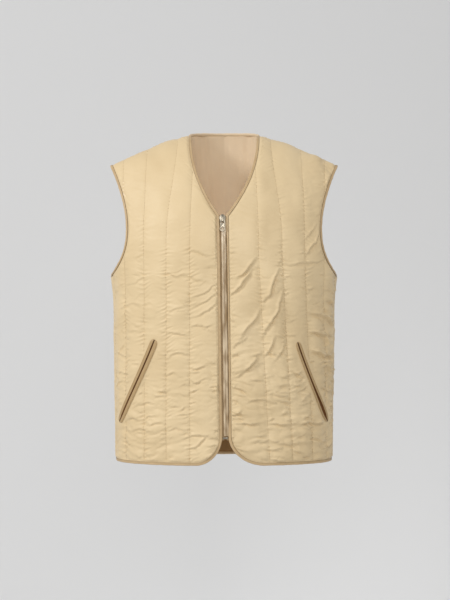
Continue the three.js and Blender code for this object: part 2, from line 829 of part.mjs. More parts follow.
function sliderGeometry() {
  const frontPlate = extrudedFlat(sliderOutline(), slider.plate, slider.front);
  const backPlate = extrudedFlat(sliderOutline(), slider.backPlate, -slider.back - slider.backPlate);
  const postDepth = slider.front + slider.back + 1;
  const post = new THREE.BoxGeometry(slider.post, postDepth, slider.post);
  post.translate(0, (slider.back - slider.front) / 2, slider.above - 0.8 * slider.post);
  const crownSettings = { depth: crownWidth, bevelEnabled: false, curveSegments: 5 };
  const crown = new THREE.ExtrudeGeometry(crownOutline(), crownSettings);
  crown.translate(0, 0, -crownWidth / 2);
  // the drawing's x becomes -y, its y becomes z and its depth becomes x
  const turn = new THREE.Matrix4().makeBasis(
    new THREE.Vector3(0, -1, 0),
    new THREE.Vector3(0, 0, 1),
    new THREE.Vector3(-1, 0, 0),
  );
  crown.applyMatrix4(turn);
  crown.translate(0, -slider.front - slider.plate, 0);
  const solids = [frontPlate, backPlate, post, crown].map(toManifold);
  return fromManifold(solids.reduce((a, b) => a.add(b)));
}

function tabGeometry() {
  // the middle of the pin is at the tab's own origin and the tab hangs down from it
  const { bar, arm, eye, eyeHalf, ringDistance, ringRadius } = tab;
  const shape = new THREE.Shape();
  shape.moveTo(-arm, bar / 2);
  shape.lineTo(-arm, -eye + 1);
  shape.quadraticCurveTo(-arm, -eye - 2, -arm * 0.9, -ringDistance + ringRadius * 0.55);
  const start = Math.atan2(ringRadius * 0.6, -ringRadius * 0.8);
  shape.absarc(0, -ringDistance, ringRadius, start, Math.PI - start + 2 * Math.PI, false);
  shape.quadraticCurveTo(arm, -eye - 2, arm, -eye + 1);
  shape.lineTo(arm, bar / 2);
  shape.lineTo(-arm, bar / 2);
  const eyeHole = new THREE.Path();
  eyeHole.moveTo(-eyeHalf, -bar / 2);
  eyeHole.lineTo(eyeHalf, -bar / 2);
  eyeHole.lineTo(eyeHalf, -eye + 1);
  eyeHole.quadraticCurveTo(0, -eye - 1, -eyeHalf, -eye + 1);
  eyeHole.lineTo(-eyeHalf, -bar / 2);
  const ringHole = new THREE.Path();
  ringHole.absarc(0, -ringDistance, tabHole, 0, 2 * Math.PI, true);
  shape.holes.push(eyeHole, ringHole);
  return extrudedFlat(shape, tab.thick, -tab.thick / 2);
}

// The vest

const group = new THREE.Group();

function addPiece(name, geometry, colour, parent = group) {
  const metal = colour === colours.metal;
  const material = new THREE.MeshStandardMaterial({
    color: colour,
    roughness: metal ? 0.3 : 0.6,
    metalness: metal ? 1 : 0,
  });
  const mesh = new THREE.Mesh(geometry, material);
  mesh.name = name;
  parent.add(mesh);
  return mesh;
}

const columnsOf = { back: buildPanel(backPanel) };
for (const [key, panel] of Object.entries(frontPanels)) {
  columnsOf[key] = buildPanel(panel);
  addPiece(panel.name, panelGeometry(columnsOf[key]), colours.cloth);
  addPiece(`binding_front_${key}`, frontBinding(panel, columnsOf[key]), colours.edge);
  const armhole = armholeBinding(panel.side, columnsOf[key], columnsOf.back);
  addPiece(`binding_armhole_${key}`, armhole, colours.edge);
}
addPiece('back', panelGeometry(columnsOf.back), colours.cloth);

const backHem = withSeamEnd(columnsOf.back.map(bottomOf), ['first', 'last']);
addPiece('binding_hem_back', bead(backHem, -1, beadProfile), colours.edge);
const neckIndex = columnsOf.back.find((column) => column.neck).index;
const neckColumns = columnsOf.back.filter((column) => column.index <= neckIndex);
const backNeck = withSeamEnd(neckColumns.map(topOf), ['first', 'last']);
addPiece('binding_neck_back', bead(backNeck, 1, beadProfile), colours.edge);

for (const pocket of pockets) {
  const panel = frontPanels[pocket.panel];
  const outer = lipGeometry(pocket, panel, lipSlit / 2, lipSlit / 2 + pocket.outer);
  const inner = lipGeometry(pocket, panel, -lipSlit / 2, -lipSlit / 2 - pocket.inner);
  addPiece(`pocket_lip_outer_${pocket.panel}`, outer, colours.edge);
  addPiece(`pocket_lip_inner_${pocket.panel}`, inner, colours.edge);
}

const tapeTop = sliderZ + slider.above - 1;
const tapeBottom = zipBottom - tapeBelowChain;
for (const [key, side] of [['left', 1], ['right', -1]]) {
  const rows = zipRows([side * tapeInner, side * tapeOuter], tapeTop, tapeBottom, 20);
  const tape = slab(rows, () => -tapeBehind - tapeThickness, () => -tapeBehind);
  addPiece(`zip_tape_${key}`, tape, colours.tape);
}
const chainRows = zipRows([-chainHalf, 0, chainHalf], sliderZ + chainTopAboveSlider, zipBottom, 18);
const chainTop = (i, j) => (j === 1 ? chainUp.middle : chainUp.side);
addPiece('zip_chain', slab(chainRows, () => chainUp.under, chainTop), colours.chain);
const boxRows = zipRows([-chainHalf - 0.3, chainHalf + 0.3], zipBottom - seamGap, zipBottom - seamGap - boxHeight, 2);
addPiece('zip_box', slab(boxRows, () => chainUp.under, () => boxUp), colours.metal);

const sliderPlace = zipPlace(0, sliderZ);
const above = zipPlace(0, sliderZ + 5);
const below = zipPlace(0, sliderZ - 5);
const zipUnit = new THREE.Group();
zipUnit.position.copy(sliderPlace.point);
zipUnit.rotation.x = -Math.atan2(above.point.y - below.point.y, above.point.z - below.point.z);
group.add(zipUnit);
addPiece('zip_slider', sliderGeometry(), colours.metal, zipUnit);
const pullTab = addPiece('zip_pull_tab', tabGeometry(), colours.metal, zipUnit);
pullTab.position.set(0, -slider.front - slider.plate - pivotStand, -pivotBelow);

export default group;
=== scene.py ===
import math

import bmesh
import bpy
import numpy as np
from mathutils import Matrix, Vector


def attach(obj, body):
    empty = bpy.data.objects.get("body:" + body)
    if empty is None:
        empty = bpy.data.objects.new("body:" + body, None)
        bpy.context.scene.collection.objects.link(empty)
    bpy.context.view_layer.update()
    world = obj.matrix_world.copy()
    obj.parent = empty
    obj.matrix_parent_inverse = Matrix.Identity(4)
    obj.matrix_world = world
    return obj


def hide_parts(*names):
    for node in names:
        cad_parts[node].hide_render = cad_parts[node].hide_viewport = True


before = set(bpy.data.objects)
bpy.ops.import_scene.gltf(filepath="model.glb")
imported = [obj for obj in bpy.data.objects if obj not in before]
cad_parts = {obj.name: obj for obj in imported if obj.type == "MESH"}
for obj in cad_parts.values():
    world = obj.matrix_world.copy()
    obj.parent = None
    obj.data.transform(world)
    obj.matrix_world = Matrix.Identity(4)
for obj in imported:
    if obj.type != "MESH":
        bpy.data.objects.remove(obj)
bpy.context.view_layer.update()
print("frame loaded:", len(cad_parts), "nodes")

# Sizes are millimetres, and makeMesh turns them into metres. x runs to the wearer's left,
# -y is the front, and the flat length s is measured round the body from the middle.
mm = 0.001

camera = {
    "x": 2.15,
    "distance": 3300,
    "height": -350.5,
    "lens": 92.07,
}


def addCamera():
    data = bpy.data.cameras.new("camera")
    data.lens = camera["lens"]
    data.sensor_width = 36
    data.clip_end = 60
    eye = bpy.data.objects.new("camera", data)
    eye.location = (camera["x"] * mm, -camera["distance"] * mm, camera["height"] * mm)
    eye.rotation_euler = (math.pi / 2, 0, 0)
    bpy.context.scene.collection.objects.link(eye)
    bpy.context.scene.camera = eye
    bpy.context.scene.view_settings.view_transform = "Standard"


addCamera()
print("camera placed")


# Filled body

# level sections of the body: z, half width, depth of the front, depth of the back
bodySections = np.array([
    (40, 284, 130, 119),
    (-60, 274, 131, 122),
    (-150, 258, 131, 123),
    (-230, 247, 132, 122),
    (-297, 240, 133, 119),
    (-350, 234, 133, 117),
    (-450, 232.5, 131, 115),
    (-600, 230, 129, 117),
    (-720, 229, 128, 119),
], float)
sectionColumn = {"halfWidth": 1, "front": 2, "back": 3}

shape = {
    "roundness": 2.2,  # superellipse power of a level section
    "shoulderRoll": 1.6,  # superellipse power of the roll over the shoulder
    "shoulderHeight": 250,
    "seamGap": 0.3,
    "wall": 2.2,  # quilted wall along a line of stitches
}

outline = {
    "neckHalf": 74.5,
    "shoulderHalf": 239.5,
    "shoulderDrop": 62,
    "shoulderCurve": 1.25,
    "backNeckHeight": 9.5,
    "backNeckStand": 68.5,
    "backNeckStandCurve": 0.75,
    "backNeckFlat": 3,
    "hem": -688.5,
    "underarm": -301,
    "armholeInner": 201.5,
    "armholeInnerZ": -198,
    "armholeUpperCurve": 1.75,
    "armholeLowerCurve": 2.5,
    "neckPoint": -177,  # foot of the V
    "neckCurve": 2.07,
    "cornerHeight": 58,
}

zipSizes = {
    "topX": -3,
    "bottomX": 3,
    "bottom": -634,
    "edgeFromZip": 11.5,
    "chainHalf": 5.2,
    "sliderZ": -182,
}

panels = {
    "left": {
        "name": "front_left", "index": 0, "face": "front", "side": 1,
        "lean": 0.055,  # how far the lines of stitches lean out towards the hem
        "cornerWidth": 70,
        "creased": 1,  # share of the creases' height
        "chestCalm": 0.4,  # share of the puckers' height lost on the chest
        "wrinkled": 0.34,  # wrinkles: on the chest, low down and near the side seam
        "wrinkledLow": 2.1,
        "wrinkledSide": 0.75,
    },
    "right": {
        "name": "front_right", "index": 1, "face": "front", "side": -1,
        "lean": 0,
        "cornerWidth": 52,
        "creased": 0.7,
        "chestCalm": 0.7,
        "wrinkled": 0.2,
        "wrinkledLow": 1.25,
        "wrinkledSide": 0.3,
    },
    "back": {
        "name": "back", "index": 2, "face": "back", "side": 1,
        "lean": 0,
        "cornerWidth": 0,
        "creased": 1,
        "chestCalm": 0.7,
        "wrinkled": 0.34,
        "wrinkledLow": 1,
        "wrinkledSide": 0.3,
    },
}


def smooth(value, low, high):
    # 0 below low, 1 above high, and level at both ends
    t = np.clip((value - low) / (high - low), 0, 1)
    return t * t * (3 - 2 * t)


def readSection(name, z):
    # cubic curve through the rows, each row's slope taken from its two neighbours
    levels = bodySections[:, 0]
    values = bodySections[:, sectionColumn[name]]
    last = len(levels) - 1
    above = np.maximum(np.arange(last + 1) - 1, 0)
    below = np.minimum(np.arange(last + 1) + 1, last)
    slopes = (values[above] - values[below]) / (levels[above] - levels[below])
    i = np.clip(np.searchsorted(-levels, -np.asarray(z, float)), 1, last)
    span = levels[i - 1] - levels[i]
    t = np.clip((z - levels[i]) / span, 0, 1)
    lower = (2 * t**3 - 3 * t**2 + 1) * values[i] + (t**3 - 2 * t**2 + t) * span * slopes[i]
    upper = (3 * t**2 - 2 * t**3) * values[i - 1] + (t**3 - t**2) * span * slopes[i - 1]
    return lower + upper


def ridge(face, x):
    # the shoulder line falls with a power of the distance from the neck point;
    # above the back neck it gives the height where the back would close
    x = np.abs(x)
    beyond = np.maximum(0, x - outline["neckHalf"])
    run = outline["shoulderHalf"] - outline["neckHalf"]
    height = -outline["shoulderDrop"] * (beyond / run) ** outline["shoulderCurve"]
    if face == "back":
        inside = np.maximum(0, 1 - (x / outline["neckHalf"]) ** 2)
        height = height + outline["backNeckStand"] * inside ** outline["backNeckStandCurve"]
    return height


def closing(face, x, z):
    # 1 on the body, falling to 0 at the shoulder line along a superellipse
    t = np.clip((ridge(face, x) - z) / shape["shoulderHeight"], 0, 1)
    roll = shape["shoulderRoll"]
    return np.maximum(0, 1 - (1 - t) ** roll) ** (1 / roll)


def level(face, x, y, z):
    # 0 on the middle of the cloth: |y/d|^n - g^n (1 - |x/a|^n), g being the closing
    n = shape["roundness"]
    width = np.abs(x / readSection("halfWidth", z)) ** n
    return np.abs(y / readSection(face, z)) ** n - closing(face, x, z) ** n * (1 - width)


# length round a quarter section, for several ratios of depth to half width
turnRatios = np.linspace(0.36, 0.64, 15)
turnAngles = np.linspace(0, math.pi / 2, 2001)
turnX = np.sin(turnAngles) ** (2 / shape["roundness"])
turnY = np.maximum(0, np.cos(turnAngles)) ** (2 / shape["roundness"])
turnSteps = np.hypot(np.diff(turnX)[None, :], turnRatios[:, None] * np.diff(turnY)[None, :])
turnLengths = np.concatenate([np.zeros((len(turnRatios), 1)), np.cumsum(turnSteps, 1)], 1)
turnShares = np.linspace(0, 1, len(turnAngles))
angleTable = np.stack([np.interp(turnShares, row / row[-1], turnAngles) for row in turnLengths])


def readTable(table, ratio, share):
    # straight between the nearest rows and columns of the table
    r = np.clip((ratio - turnRatios[0]) / (turnRatios[1] - turnRatios[0]), 0, len(turnRatios) - 1.001)
    c = np.clip(share, 0, 1) * (table.shape[1] - 1)
    i = r.astype(int)
    j = np.minimum(c.astype(int), table.shape[1] - 2)
    fr, fc = r - i, c - j
    low = table[i, j] * (1 - fc) + table[i, j + 1] * fc
    high = table[i + 1, j] * (1 - fc) + table[i + 1, j + 1] * fc
    return low * (1 - fr) + high * fr


def sideSeam(face, z):
    a = readSection("halfWidth", z)
    return a * np.interp(readSection(face, z) / a, turnRatios, turnLengths[:, -1])


def angleAt(face, s, z):
    ratio = readSection(face, z) / readSection("halfWidth", z)
    return readTable(angleTable, ratio, np.abs(s) / sideSeam(face, z))


def acrossToX(face, s, z):
    power = 2 / shape["roundness"]
    return np.sign(s) * readSection("halfWidth", z) * np.sin(angleAt(face, s, z)) ** power


def xToAcross(face, x, z):
    a = readSection("halfWidth", z)
    ratio = readSection(face, z) / a
    angle = np.arcsin(np.clip(np.abs(x) / a, 0, 1) ** (shape["roundness"] / 2))
    return np.sign(x) * a * readTable(turnLengths, ratio, angle / (math.pi / 2))


def clothPlace(face, s, z):
    # middle of the cloth at the flat length s, and the way out of it there, which is
    # the slope of level() by central differences
    s, z = np.broadcast_arrays(np.asarray(s, float), np.asarray(z, float))
    power = 2 / shape["roundness"]
    angle = angleAt(face, s, z)
    x = np.sign(s) * readSection("halfWidth", z) * np.sin(angle) ** power
    depth = readSection(face, z) * np.maximum(0, np.cos(angle)) ** power
    depth = np.maximum(shape["seamGap"] / 2, closing(face, x, z) * depth)
    y = -depth if face == "front" else depth
    e = 0.5
    out = np.stack([
        level(face, x + e, y, z) - level(face, x - e, y, z),
        level(face, x, y + e, z) - level(face, x, y - e, z),
        level(face, x, y, z + e) - level(face, x, y, z - e),
    ], -1)
    out[..., 1] = np.where(depth < shape["seamGap"], 0, out[..., 1])
    out /= np.maximum(1e-12, np.linalg.norm(out, axis=-1, keepdims=True))
    return np.stack([x, y, z], -1), out


# Outlines of the panels

def zipX(z):
    share = (z - outline["neckPoint"]) / (zipSizes["bottom"] - outline["neckPoint"])
    return zipSizes["topX"] + (zipSizes["bottomX"] - zipSizes["topX"]) * share


def neckEdgeX(side, z):
    # distance of the V neck's edge from the middle, along a power curve
    foot = zipX(outline["neckPoint"]) * side + zipSizes["edgeFromZip"]
    w = np.clip(z / outline["neckPoint"], 0, 1)
    return foot + (outline["neckHalf"] - foot) * (1 - w ** outline["neckCurve"])


def topCurve(face, x):
    # shoulder line, and on the back the neck edge as a flattened superellipse
    x = np.abs(x)
    if face == "front":
        return ridge("front", x)
    w = np.minimum(1, x / outline["neckHalf"])
    neck = outline["backNeckHeight"] * np.sqrt(1 - w ** outline["backNeckFlat"])
    return np.where(x < outline["neckHalf"], neck, ridge("front", x))


def armholeX(z):
    # two power curves that meet at the narrowest place, and the side seam below
    inner = outline["armholeInner"]
    innerZ = outline["armholeInnerZ"]
    tipZ = float(ridge("front", outline["shoulderHalf"]))
    sideX = float(readSection("halfWidth", outline["underarm"]))
    up = np.clip((z - innerZ) / (tipZ - innerZ), 0, 1)
    down = np.clip((innerZ - z) / (innerZ - outline["underarm"]), 0, 1)
    upper = inner + (outline["shoulderHalf"] - inner) * up ** outline["armholeUpperCurve"]
    lower = inner + (sideX - inner) * down ** outline["armholeLowerCurve"]
    edge = np.where(z >= innerZ, upper, lower)
    return np.where(z <= outline["underarm"], readSection("halfWidth", z), edge)


quilting = {
    "puff": 3.2,  # how far a channel stands above its stitches
    "puffCurve": 0.6,
    "chestShare": 0.62,  # the chest hangs smoother than the rest
    "chestDepths": (200, 420),
    "edgeFlat": 0.8,  # flat seam beside the binding
    "edgeTaper": 4.6,
    "pitch": 50,
    "channels": 5,
    "firstLine": 71,
    "leanFrom": -250,
    "leanFree": (190, 290),  # lines this far out lean less and less
    "neckPull": 22,
    "neckPullAt": 120,
    "neckPullWidth": 45,
    "neckPullHeights": (-230, 0),
    "insidePuff": 0.8,
    "insideFold": 5,
    "insideFoldHeights": (-420, -150),
}


def lineLength(panel, k, z):
    # flat length from the middle to line k; line 0 is the front edge or the middle of the back
    z = np.asarray(z, float)
    if k > quilting["channels"]:
        return sideSeam(panel["face"], z)
    if panel["face"] == "back":
        return np.minimum(k * quilting["pitch"], sideSeam("back", z))
    if k == 0:
        return zipSizes["edgeFromZip"] + panel["side"] * zipX(z)
    base = quilting["firstLine"] + (k - 1) * quilting["pitch"]
    free = 1 - smooth(base, *quilting["leanFree"])
    low = np.maximum(0, quilting["leanFrom"] - z) * panel["lean"] * free
    away = (base - quilting["neckPullAt"]) / quilting["neckPullWidth"]
    pull = smooth(z, *quilting["neckPullHeights"]) * quilting["neckPull"]
    return base + low - pull * math.exp(-away * away)


def bottomAt(panel, s):
    # hem, with the lower corner of a front rounded as a quarter ellipse
    hem = outline["hem"]
    if panel["face"] == "back":
        return np.full_like(np.asarray(s, float), hem)
    edge = lineLength(panel, 0, hem)
    w = np.clip(1 - (np.abs(s) - edge) / panel["cornerWidth"], 0, 1)
    return hem + outline["cornerHeight"] * (1 - np.sqrt(1 - w * w))


# Creases

# main creases, by the dark side of each: flat length and height of both ends, half width,
# height, and how far its middle bows; a plus bow is upwards
creases = {
    "front_right": [
        (72, -247, 34, -260, 7, 1.9, 3),
        (96, -300, 39, -314, 8, 1.6, 5),
        (120, -292, 92, -306, 7, 0.9, 2),
        (66, -350, 16, -320, 6, 1.2, -3),
        (64, -366, 16, -340, 6, 1.3, -3),
        (66, -388, 16, -361, 7, 1.5, -4),
        (113, -376, 76, -361, 7, 1.1, 3),
        (66, -407, 27, -405, 6, 2.4, 3),
        (115, -421, 74, -422, 6, 2.3, 3),
        (112, -466, 79, -466, 7, 2.1, 9),
        (71, -444, 48, -444, 6, 1.2, 3),
        (67, -491, 38, -490, 6, 1.5, -3),
        (58, -520, 22, -514, 6, 1.0, 2),
        (120, -506, 84, -512, 8, 0.9, 4),
        (190, -571, 140, -568, 6, 1.7, 4),
        (218, -604, 180, -600, 6, 1.8, 3),
        (171, -607, 128, -604, 6, 1.8, -4),
        (98, -592, 75, -589, 6, 1.9, 3),
        (96, -548, 62, -553, 7, 1.2, 4),
        (212, -626, 146, -623, 7, 1.5, 5),
        (125, -624, 80, -621, 6, 1.6, 3),
        (78, -637, 28, -635, 6, 2.8, 5),
        (226, -361, 176, -361, 8, 0.9, 4),
        (218, -418, 182, -415, 8, 1.0, 4),
        (246, -472, 209, -430, 8, 1.1, 6),
        (250, -330, 214, -322, 8, 0.7, 3),
        (150, -540, 108, -536, 7, 1.0, -4),
        (60, -652, 34, -634, 6, 1.5, -3),
        (84, -664, 48, -646, 7, 1.2, -3),
    ],
    "front_left": [
        (64, -266, 31, -306, 8, 2.2, -3),
        (58, -290, 18, -338, 8, 2.4, -4),
        (112, -292, 84, -352, 9, 2.5, -4),
        (124, -338, 82, -424, 9, 2.5, -5),
        (76, -374, 36, -424, 9, 3.0, -5),
        (102, -431, 84, -466, 7, 2.1, -3),
        (70, -467, 36, -502, 8, 3.0, -5),
        (50, -420, 24, -446, 6, 1.2, -2),
        (128, -440, 110, -474, 8, 1.4, -3),
        (212, -212, 172, -258, 7, 1.9, -3),
        (198, -196, 178, -222, 6, 1.1, -2),
        (226, -268, 128, -278, 6, 1.5, -4),
        (190, -381, 264, -402, 8, 4.2, 5),
        (186, -416, 244, -441, 8, 3.6, 6),
        (192, -458, 258, -479, 8, 4.0, 6),
        (228, -352, 266, -360, 7, 2.6, 3),
        (259, -612, 261, -656, 5, 1.8, 1),
        (230, -428, 268, -430, 6, 1.4, 3),
        (144, -500, 176, -512, 7, 2.1, 3),
        (222, -492, 262, -500, 7, 1.9, 4),
        (156, -609, 262, -616, 8, 2.6, 9),
        (33, -609, 76, -609, 7, 2.3, 4),
        (95, -607, 136, -611, 7, 2.2, 5),
        (143, -530, 164, -530, 6, 1.9, 3),
        (52, -563, 87, -561, 6, 1.9, 3),
        (30, -520, 60, -530, 6, 1.1, 2),
        (100, -548, 138, -556, 7, 1.5, 4),
        (176, -566, 214, -556, 7, 1.4, 4),
        (180, -640, 236, -652, 7, 1.7, 5),
        (110, -648, 160, -656, 7, 1.4, 4),
        (214, -536, 258, -548, 7, 1.8, 4),
        (48, -648, 84, -640, 7, 1.1, 3),
    ],
    "back": [
        (-66, -258, -22, -272, 8, 1.6, 4),
        (24, -262, 70, -246, 8, 1.5, 4),
        (-204, -226, -160, -262, 8, 1.8, -3),
        (206, -224, 164, -260, 8, 1.9, -3),
        (-262, -344, -196, -356, 8, 2.1, 5),
        (264, -352, 190, -360, 8, 2.3, 5),
        (-250, -398, -180, -416, 8, 2.3, 5),
        (252, -402, 186, -424, 8, 2.2, 6),
        (-140, -366, -76, -378, 9, 1.6, 5),
        (88, -372, 150, -362, 9, 1.8, 5),
        (-262, -454, -202, -470, 7, 2.3, 6),
        (258, -458, 196, -478, 8, 2.4, 6),
        (-48, -420, 10, -430, 9, 1.7, 5),
        (26, -470, 82, -462, 8, 1.6, -4),
        (-150, -486, -92, -478, 8, 1.8, 5),
        (104, -516, 166, -508, 8, 1.9, 5),
        (-232, -540, -168, -548, 8, 1.9, 5),
        (196, -560, 252, -552, 8, 2.0, 4),
        (-96, -562, -34, -556, 8, 1.8, 5),
        (14, -584, 78, -590, 8, 1.9, -5),
        (-180, -612, -118, -606, 8, 1.9, 5),
        (120, -622, 180, -628, 8, 1.8, 5),
        (-60, -634, -4, -640, 8, 1.8, 4),
        (206, -640, 254, -632, 8, 1.7, 4),
        (-262, -640, -206, -650, 8, 1.7, 4),
    ],
}

creaseStyle = {
    "lightFrom": (-0.55, 0.84),  # way to the light on the flat cloth, across and up
    "narrow": 0.44,  # all creases together, narrower or wider
    "tall": 1.55,
    "bow": 0.6,
    "warp": 8,
    "swell": 0.2,  # wider swelling beside each crease
    "swellWidth": 2.8,
    "puckerHeight": 4.2,
    "puckerReach": 8,
    "puckerWaves": (7.5, 9.8, 13.1, 18.7),
    "edgePucker": 3.0,
    "edgePuckerReach": 7,
    "chestCalmHeights": (-330, -160),
    "lowDepths": (300, 560),  # depths over which the wrinkles grow to those of the lower part
    "sideLengths": (150, 250),  # flat lengths over which they grow to those of the sides
    "seamCalm": 38,  # creases and puckers sink towards the side seam over this width
    "seamShare": 0.05,  # and this share of them is left on it
    "wrinkleHeight": 2.3,
    # layers of wrinkles: noise table, width, height and share
    "wrinkleLayers": ((3, 50, 17, 1), (4, 29, 10, 0.65), (5, 17, 6.5, 0.34)),
    "rollHeight": 1.6,
    "seed": 11,
}

noiseRandom = np.random.default_rng(creaseStyle["seed"])
noiseTables = noiseRandom.random((12, 64, 64))


def noise(index, u, v):
    # values at whole numbers, smooth between them; where it is read, the odd numbers added
    # to a place only keep one reading apart from another
    table = noiseTables[index]
    i, j = np.floor(u).astype(int), np.floor(v).astype(int)
    fu, fv = u - i, v - j
    fu = fu * fu * fu * (fu * (fu * 6 - 15) + 10)
    fv = fv * fv * fv * (fv * (fv * 6 - 15) + 10)
    i0, i1, j0, j1 = i % 64, (i + 1) % 64, j % 64, (j + 1) % 64
    low = table[i0, j0] * (1 - fu) + table[i1, j0] * fu
    high = table[i0, j1] * (1 - fu) + table[i1, j1] * fu
    return low * (1 - fv) + high * fv


strays = {
    "count": 190,
    "top": -230,
    "reach": 455,  # how far below the top they lie
    "crowding": 0.75,  # under 1, more of them lie low down
    "shortest": 7,
    "lengthRange": 24,
    "slope": 0.9,
    "narrowest": 3.6,
    "widthRange": 3.4,
    "lowest": 0.5,
    "heightRange": 1.5,
    "bowRange": 5,
}


def strayCreases(panel):
    # short creases that start at the lines of stitches, more of them lower down, each given
    # as in the table above: seeded random places, lengths and heights
    random = np.random.default_rng(creaseStyle["seed"] + 7 + panel["index"])
    count = strays["count"]
    z = strays["top"] - strays["reach"] * random.random(count) ** strays["crowding"]
    line = random.integers(0, quilting["channels"] + 1, count)
    lines = np.stack([lineLength(panel, k, z) for k in range(quilting["channels"] + 1)])
    way = np.where(random.random(count) < 0.5, -1, 1)
    way = np.where(line == 0, 1, way)
    length = strays["shortest"] + strays["lengthRange"] * random.random(count) ** 1.6
    start = lines[line, np.arange(count)] + way * (1 + 5 * random.random(count))
    end = start + way * length
    slope = strays["slope"] * (random.random(count) - 0.5)
    half = strays["narrowest"] + strays["widthRange"] * random.random(count)
    height = strays["lowest"] + strays["heightRange"] * random.random(count) ** 1.5
    height = height * (0.55 + 0.45 * smooth(-z, *creaseStyle["lowDepths"]))
    bow = strays["bowRange"] * (random.random(count) - 0.5)
    if panel["face"] == "back":
        side = np.where(random.random(count) < 0.5, -1, 1)
        start, end = start * side, end * side
    return list(map(tuple, np.stack([start, z, end, z + slope * length, half, height, bow], -1)))


def creaseHeight(panel, s, z):
    # each crease is a slanted step beside its line: d exp(-d^2), d being the distance
    # towards the light in half widths, and a wider one of the same kind; both fade at the
    # ends by a half sine, and noise bends the line
    total = np.zeros_like(s)
    shift = 9.1 * panel["index"]
    warp = creaseStyle["warp"]
    fine = 0.25 * warp
    bentS = s + warp * (noise(1, s / 19 + shift, z / 17) - 0.5)
    bentS = bentS + fine * (noise(2, s / 8, z / 7 + shift) - 0.5)
    bentZ = z + warp * (noise(2, s / 20, z / 18 + shift) - 0.5)
    bentZ = bentZ + fine * (noise(1, s / 9 + shift, z / 7) - 0.5)
    for s0, z0, s1, z1, half, height, bow in creases[panel["name"]] + strayCreases(panel):
        a = np.array([s0 * panel["side"], z0], float)
        b = np.array([s1 * panel["side"], z1], float)
        run = b - a
        length = math.hypot(*run)
        near = np.hypot(bentS - (a[0] + b[0]) / 2, bentZ - (a[1] + b[1]) / 2) < length / 2 + 4 * half
        if not near.any():
            continue
        ds, dz = bentS[near] - a[0], bentZ[near] - a[1]
        up = np.array([-run[1], run[0]]) / length
        if up @ np.array(creaseStyle["lightFrom"]) < 0:
            up = -up
        lift = (1 if up[1] > 0 else -1) * creaseStyle["bow"]
        t = (ds * run[0] + dz * run[1]) / length**2
        inside = np.clip(t, 0, 1)
        d = ds * up[0] + dz * up[1] - lift * bow * 4 * inside * (1 - inside)
        past = (t - inside) * length
        d = d / (half * creaseStyle["narrow"])
        step = math.sqrt(2 * math.e) * d * np.exp(-d * d)
        d = d / creaseStyle["swellWidth"]
        step = step + creaseStyle["swell"] * math.sqrt(2 * math.e) * d * np.exp(-d * d)
        fade = np.sin(math.pi * np.clip(0.08 + 0.84 * inside, 0, 1)) ** 0.8
        total[near] += creaseStyle["tall"] * height * step * fade * np.exp(-(past / half) ** 2)
    return total


puckerTurns = noiseRandom.random((3, 14, 2, len(creaseStyle["puckerWaves"]))) * math.pi


def ripple(turns, run, gust):
    # |sin| waves of several lengths, so that the hollows are sharp and the crests round,
    # stronger in some places than in others
    total = np.zeros_like(run)
    for m, wave in enumerate(creaseStyle["puckerWaves"]):
        bend = 0.9 * np.sin(run / (2.7 * wave) + turns[..., m])
        crest = np.abs(np.sin(math.pi * run / wave + turns[..., m] + bend)) ** 0.8
        total = total + (crest - 0.66) / (m + 1.6)
    return total * (0.2 + 1.6 * gust)


def puckerHeight(panel, line, right, reach, z):
    # ripples that leave a line of stitches at changing slants, different on its two sides
    turns = puckerTurns[panel["index"]][line, right.astype(int)]
    slant = 1.4 * (noise(10, z / 52 + 3.1 * line, right * 9.7 + 4.4) - 0.5)
    gust = noise(0, z / 46 + 7.3 * line, line * 1.7 + 20.5 * right)
    return ripple(turns, z + slant * reach, gust)


def wrinkleHeight(panel, s, z):
    # soft wrinkles lying mostly level: |noise| drawn out across, bent by a wider noise
    shift = 17.3 * panel["index"]
    bend = 26 * noise(1, s / 70 + shift, z / 80) + 9 * noise(2, s / 31 + shift, z / 36)
    total = np.zeros_like(s)
    for index, wide, high, share in creaseStyle["wrinkleLayers"]:
        n = noise(index, s / wide + shift, (z + bend) / high)
        total = total + share * np.abs(2 * n - 1) ** 0.8
    roll = creaseStyle["rollHeight"] * (noise(9, s / 34 - shift, (z + bend) / 40) - 0.5)
    where = noise(6, s / 90 + shift, z / 70)
    low = panel["wrinkledLow"] * smooth(-z, *creaseStyle["lowDepths"])
    side = panel["wrinkledSide"] * smooth(np.abs(s), *creaseStyle["sideLengths"])
    chest = panel["wrinkled"]
    return roll + (total - 0.8) * (0.25 + 0.9 * where) * (chest + (1 - chest) * low + side)


pockets = [
    {"panel": "left", "topX": 151, "topZ": -438.5, "bottomX": 214.5, "bottomZ": -607, "gape": 2.4,
     "outer": 4.8, "inner": 4.8},
    {"panel": "right", "topX": 142.2, "topZ": -433, "bottomX": 216.5, "bottomZ": -608, "gape": 0.5,
     "outer": 6.4, "inner": 8},
]
pocketBow = 5  # towards the zip, so that a pocket looks straight from the front
pocketFlat = (9, 19)  # the cloth is smooth up to the first distance, and as elsewhere past the second


def pocketLine(pocket):
    # both ends of a pocket on the flat cloth, and the unit ways along and across it
    ends = [
        np.array([float(xToAcross("front", pocket[end + "X"], pocket[end + "Z"])), pocket[end + "Z"]])
        for end in ("top", "bottom")
    ]
    run = ends[1] - ends[0]
    length = math.hypot(*run)
    along = run / length
    return ends[0], along, np.array([-along[1], along[0]]), length


def pocketPlace(pocket, t, offset):
    # flat place at the share t of a pocket's length and a distance off its bowed line
    start, along, across, length = pocketLine(pocket)
    away = offset - pocketBow * 4 * t * (1 - t)
    s = start[0] + along[0] * t * length + across[0] * away
    z = start[1] + along[1] * t * length + across[1] * away
    return s, z


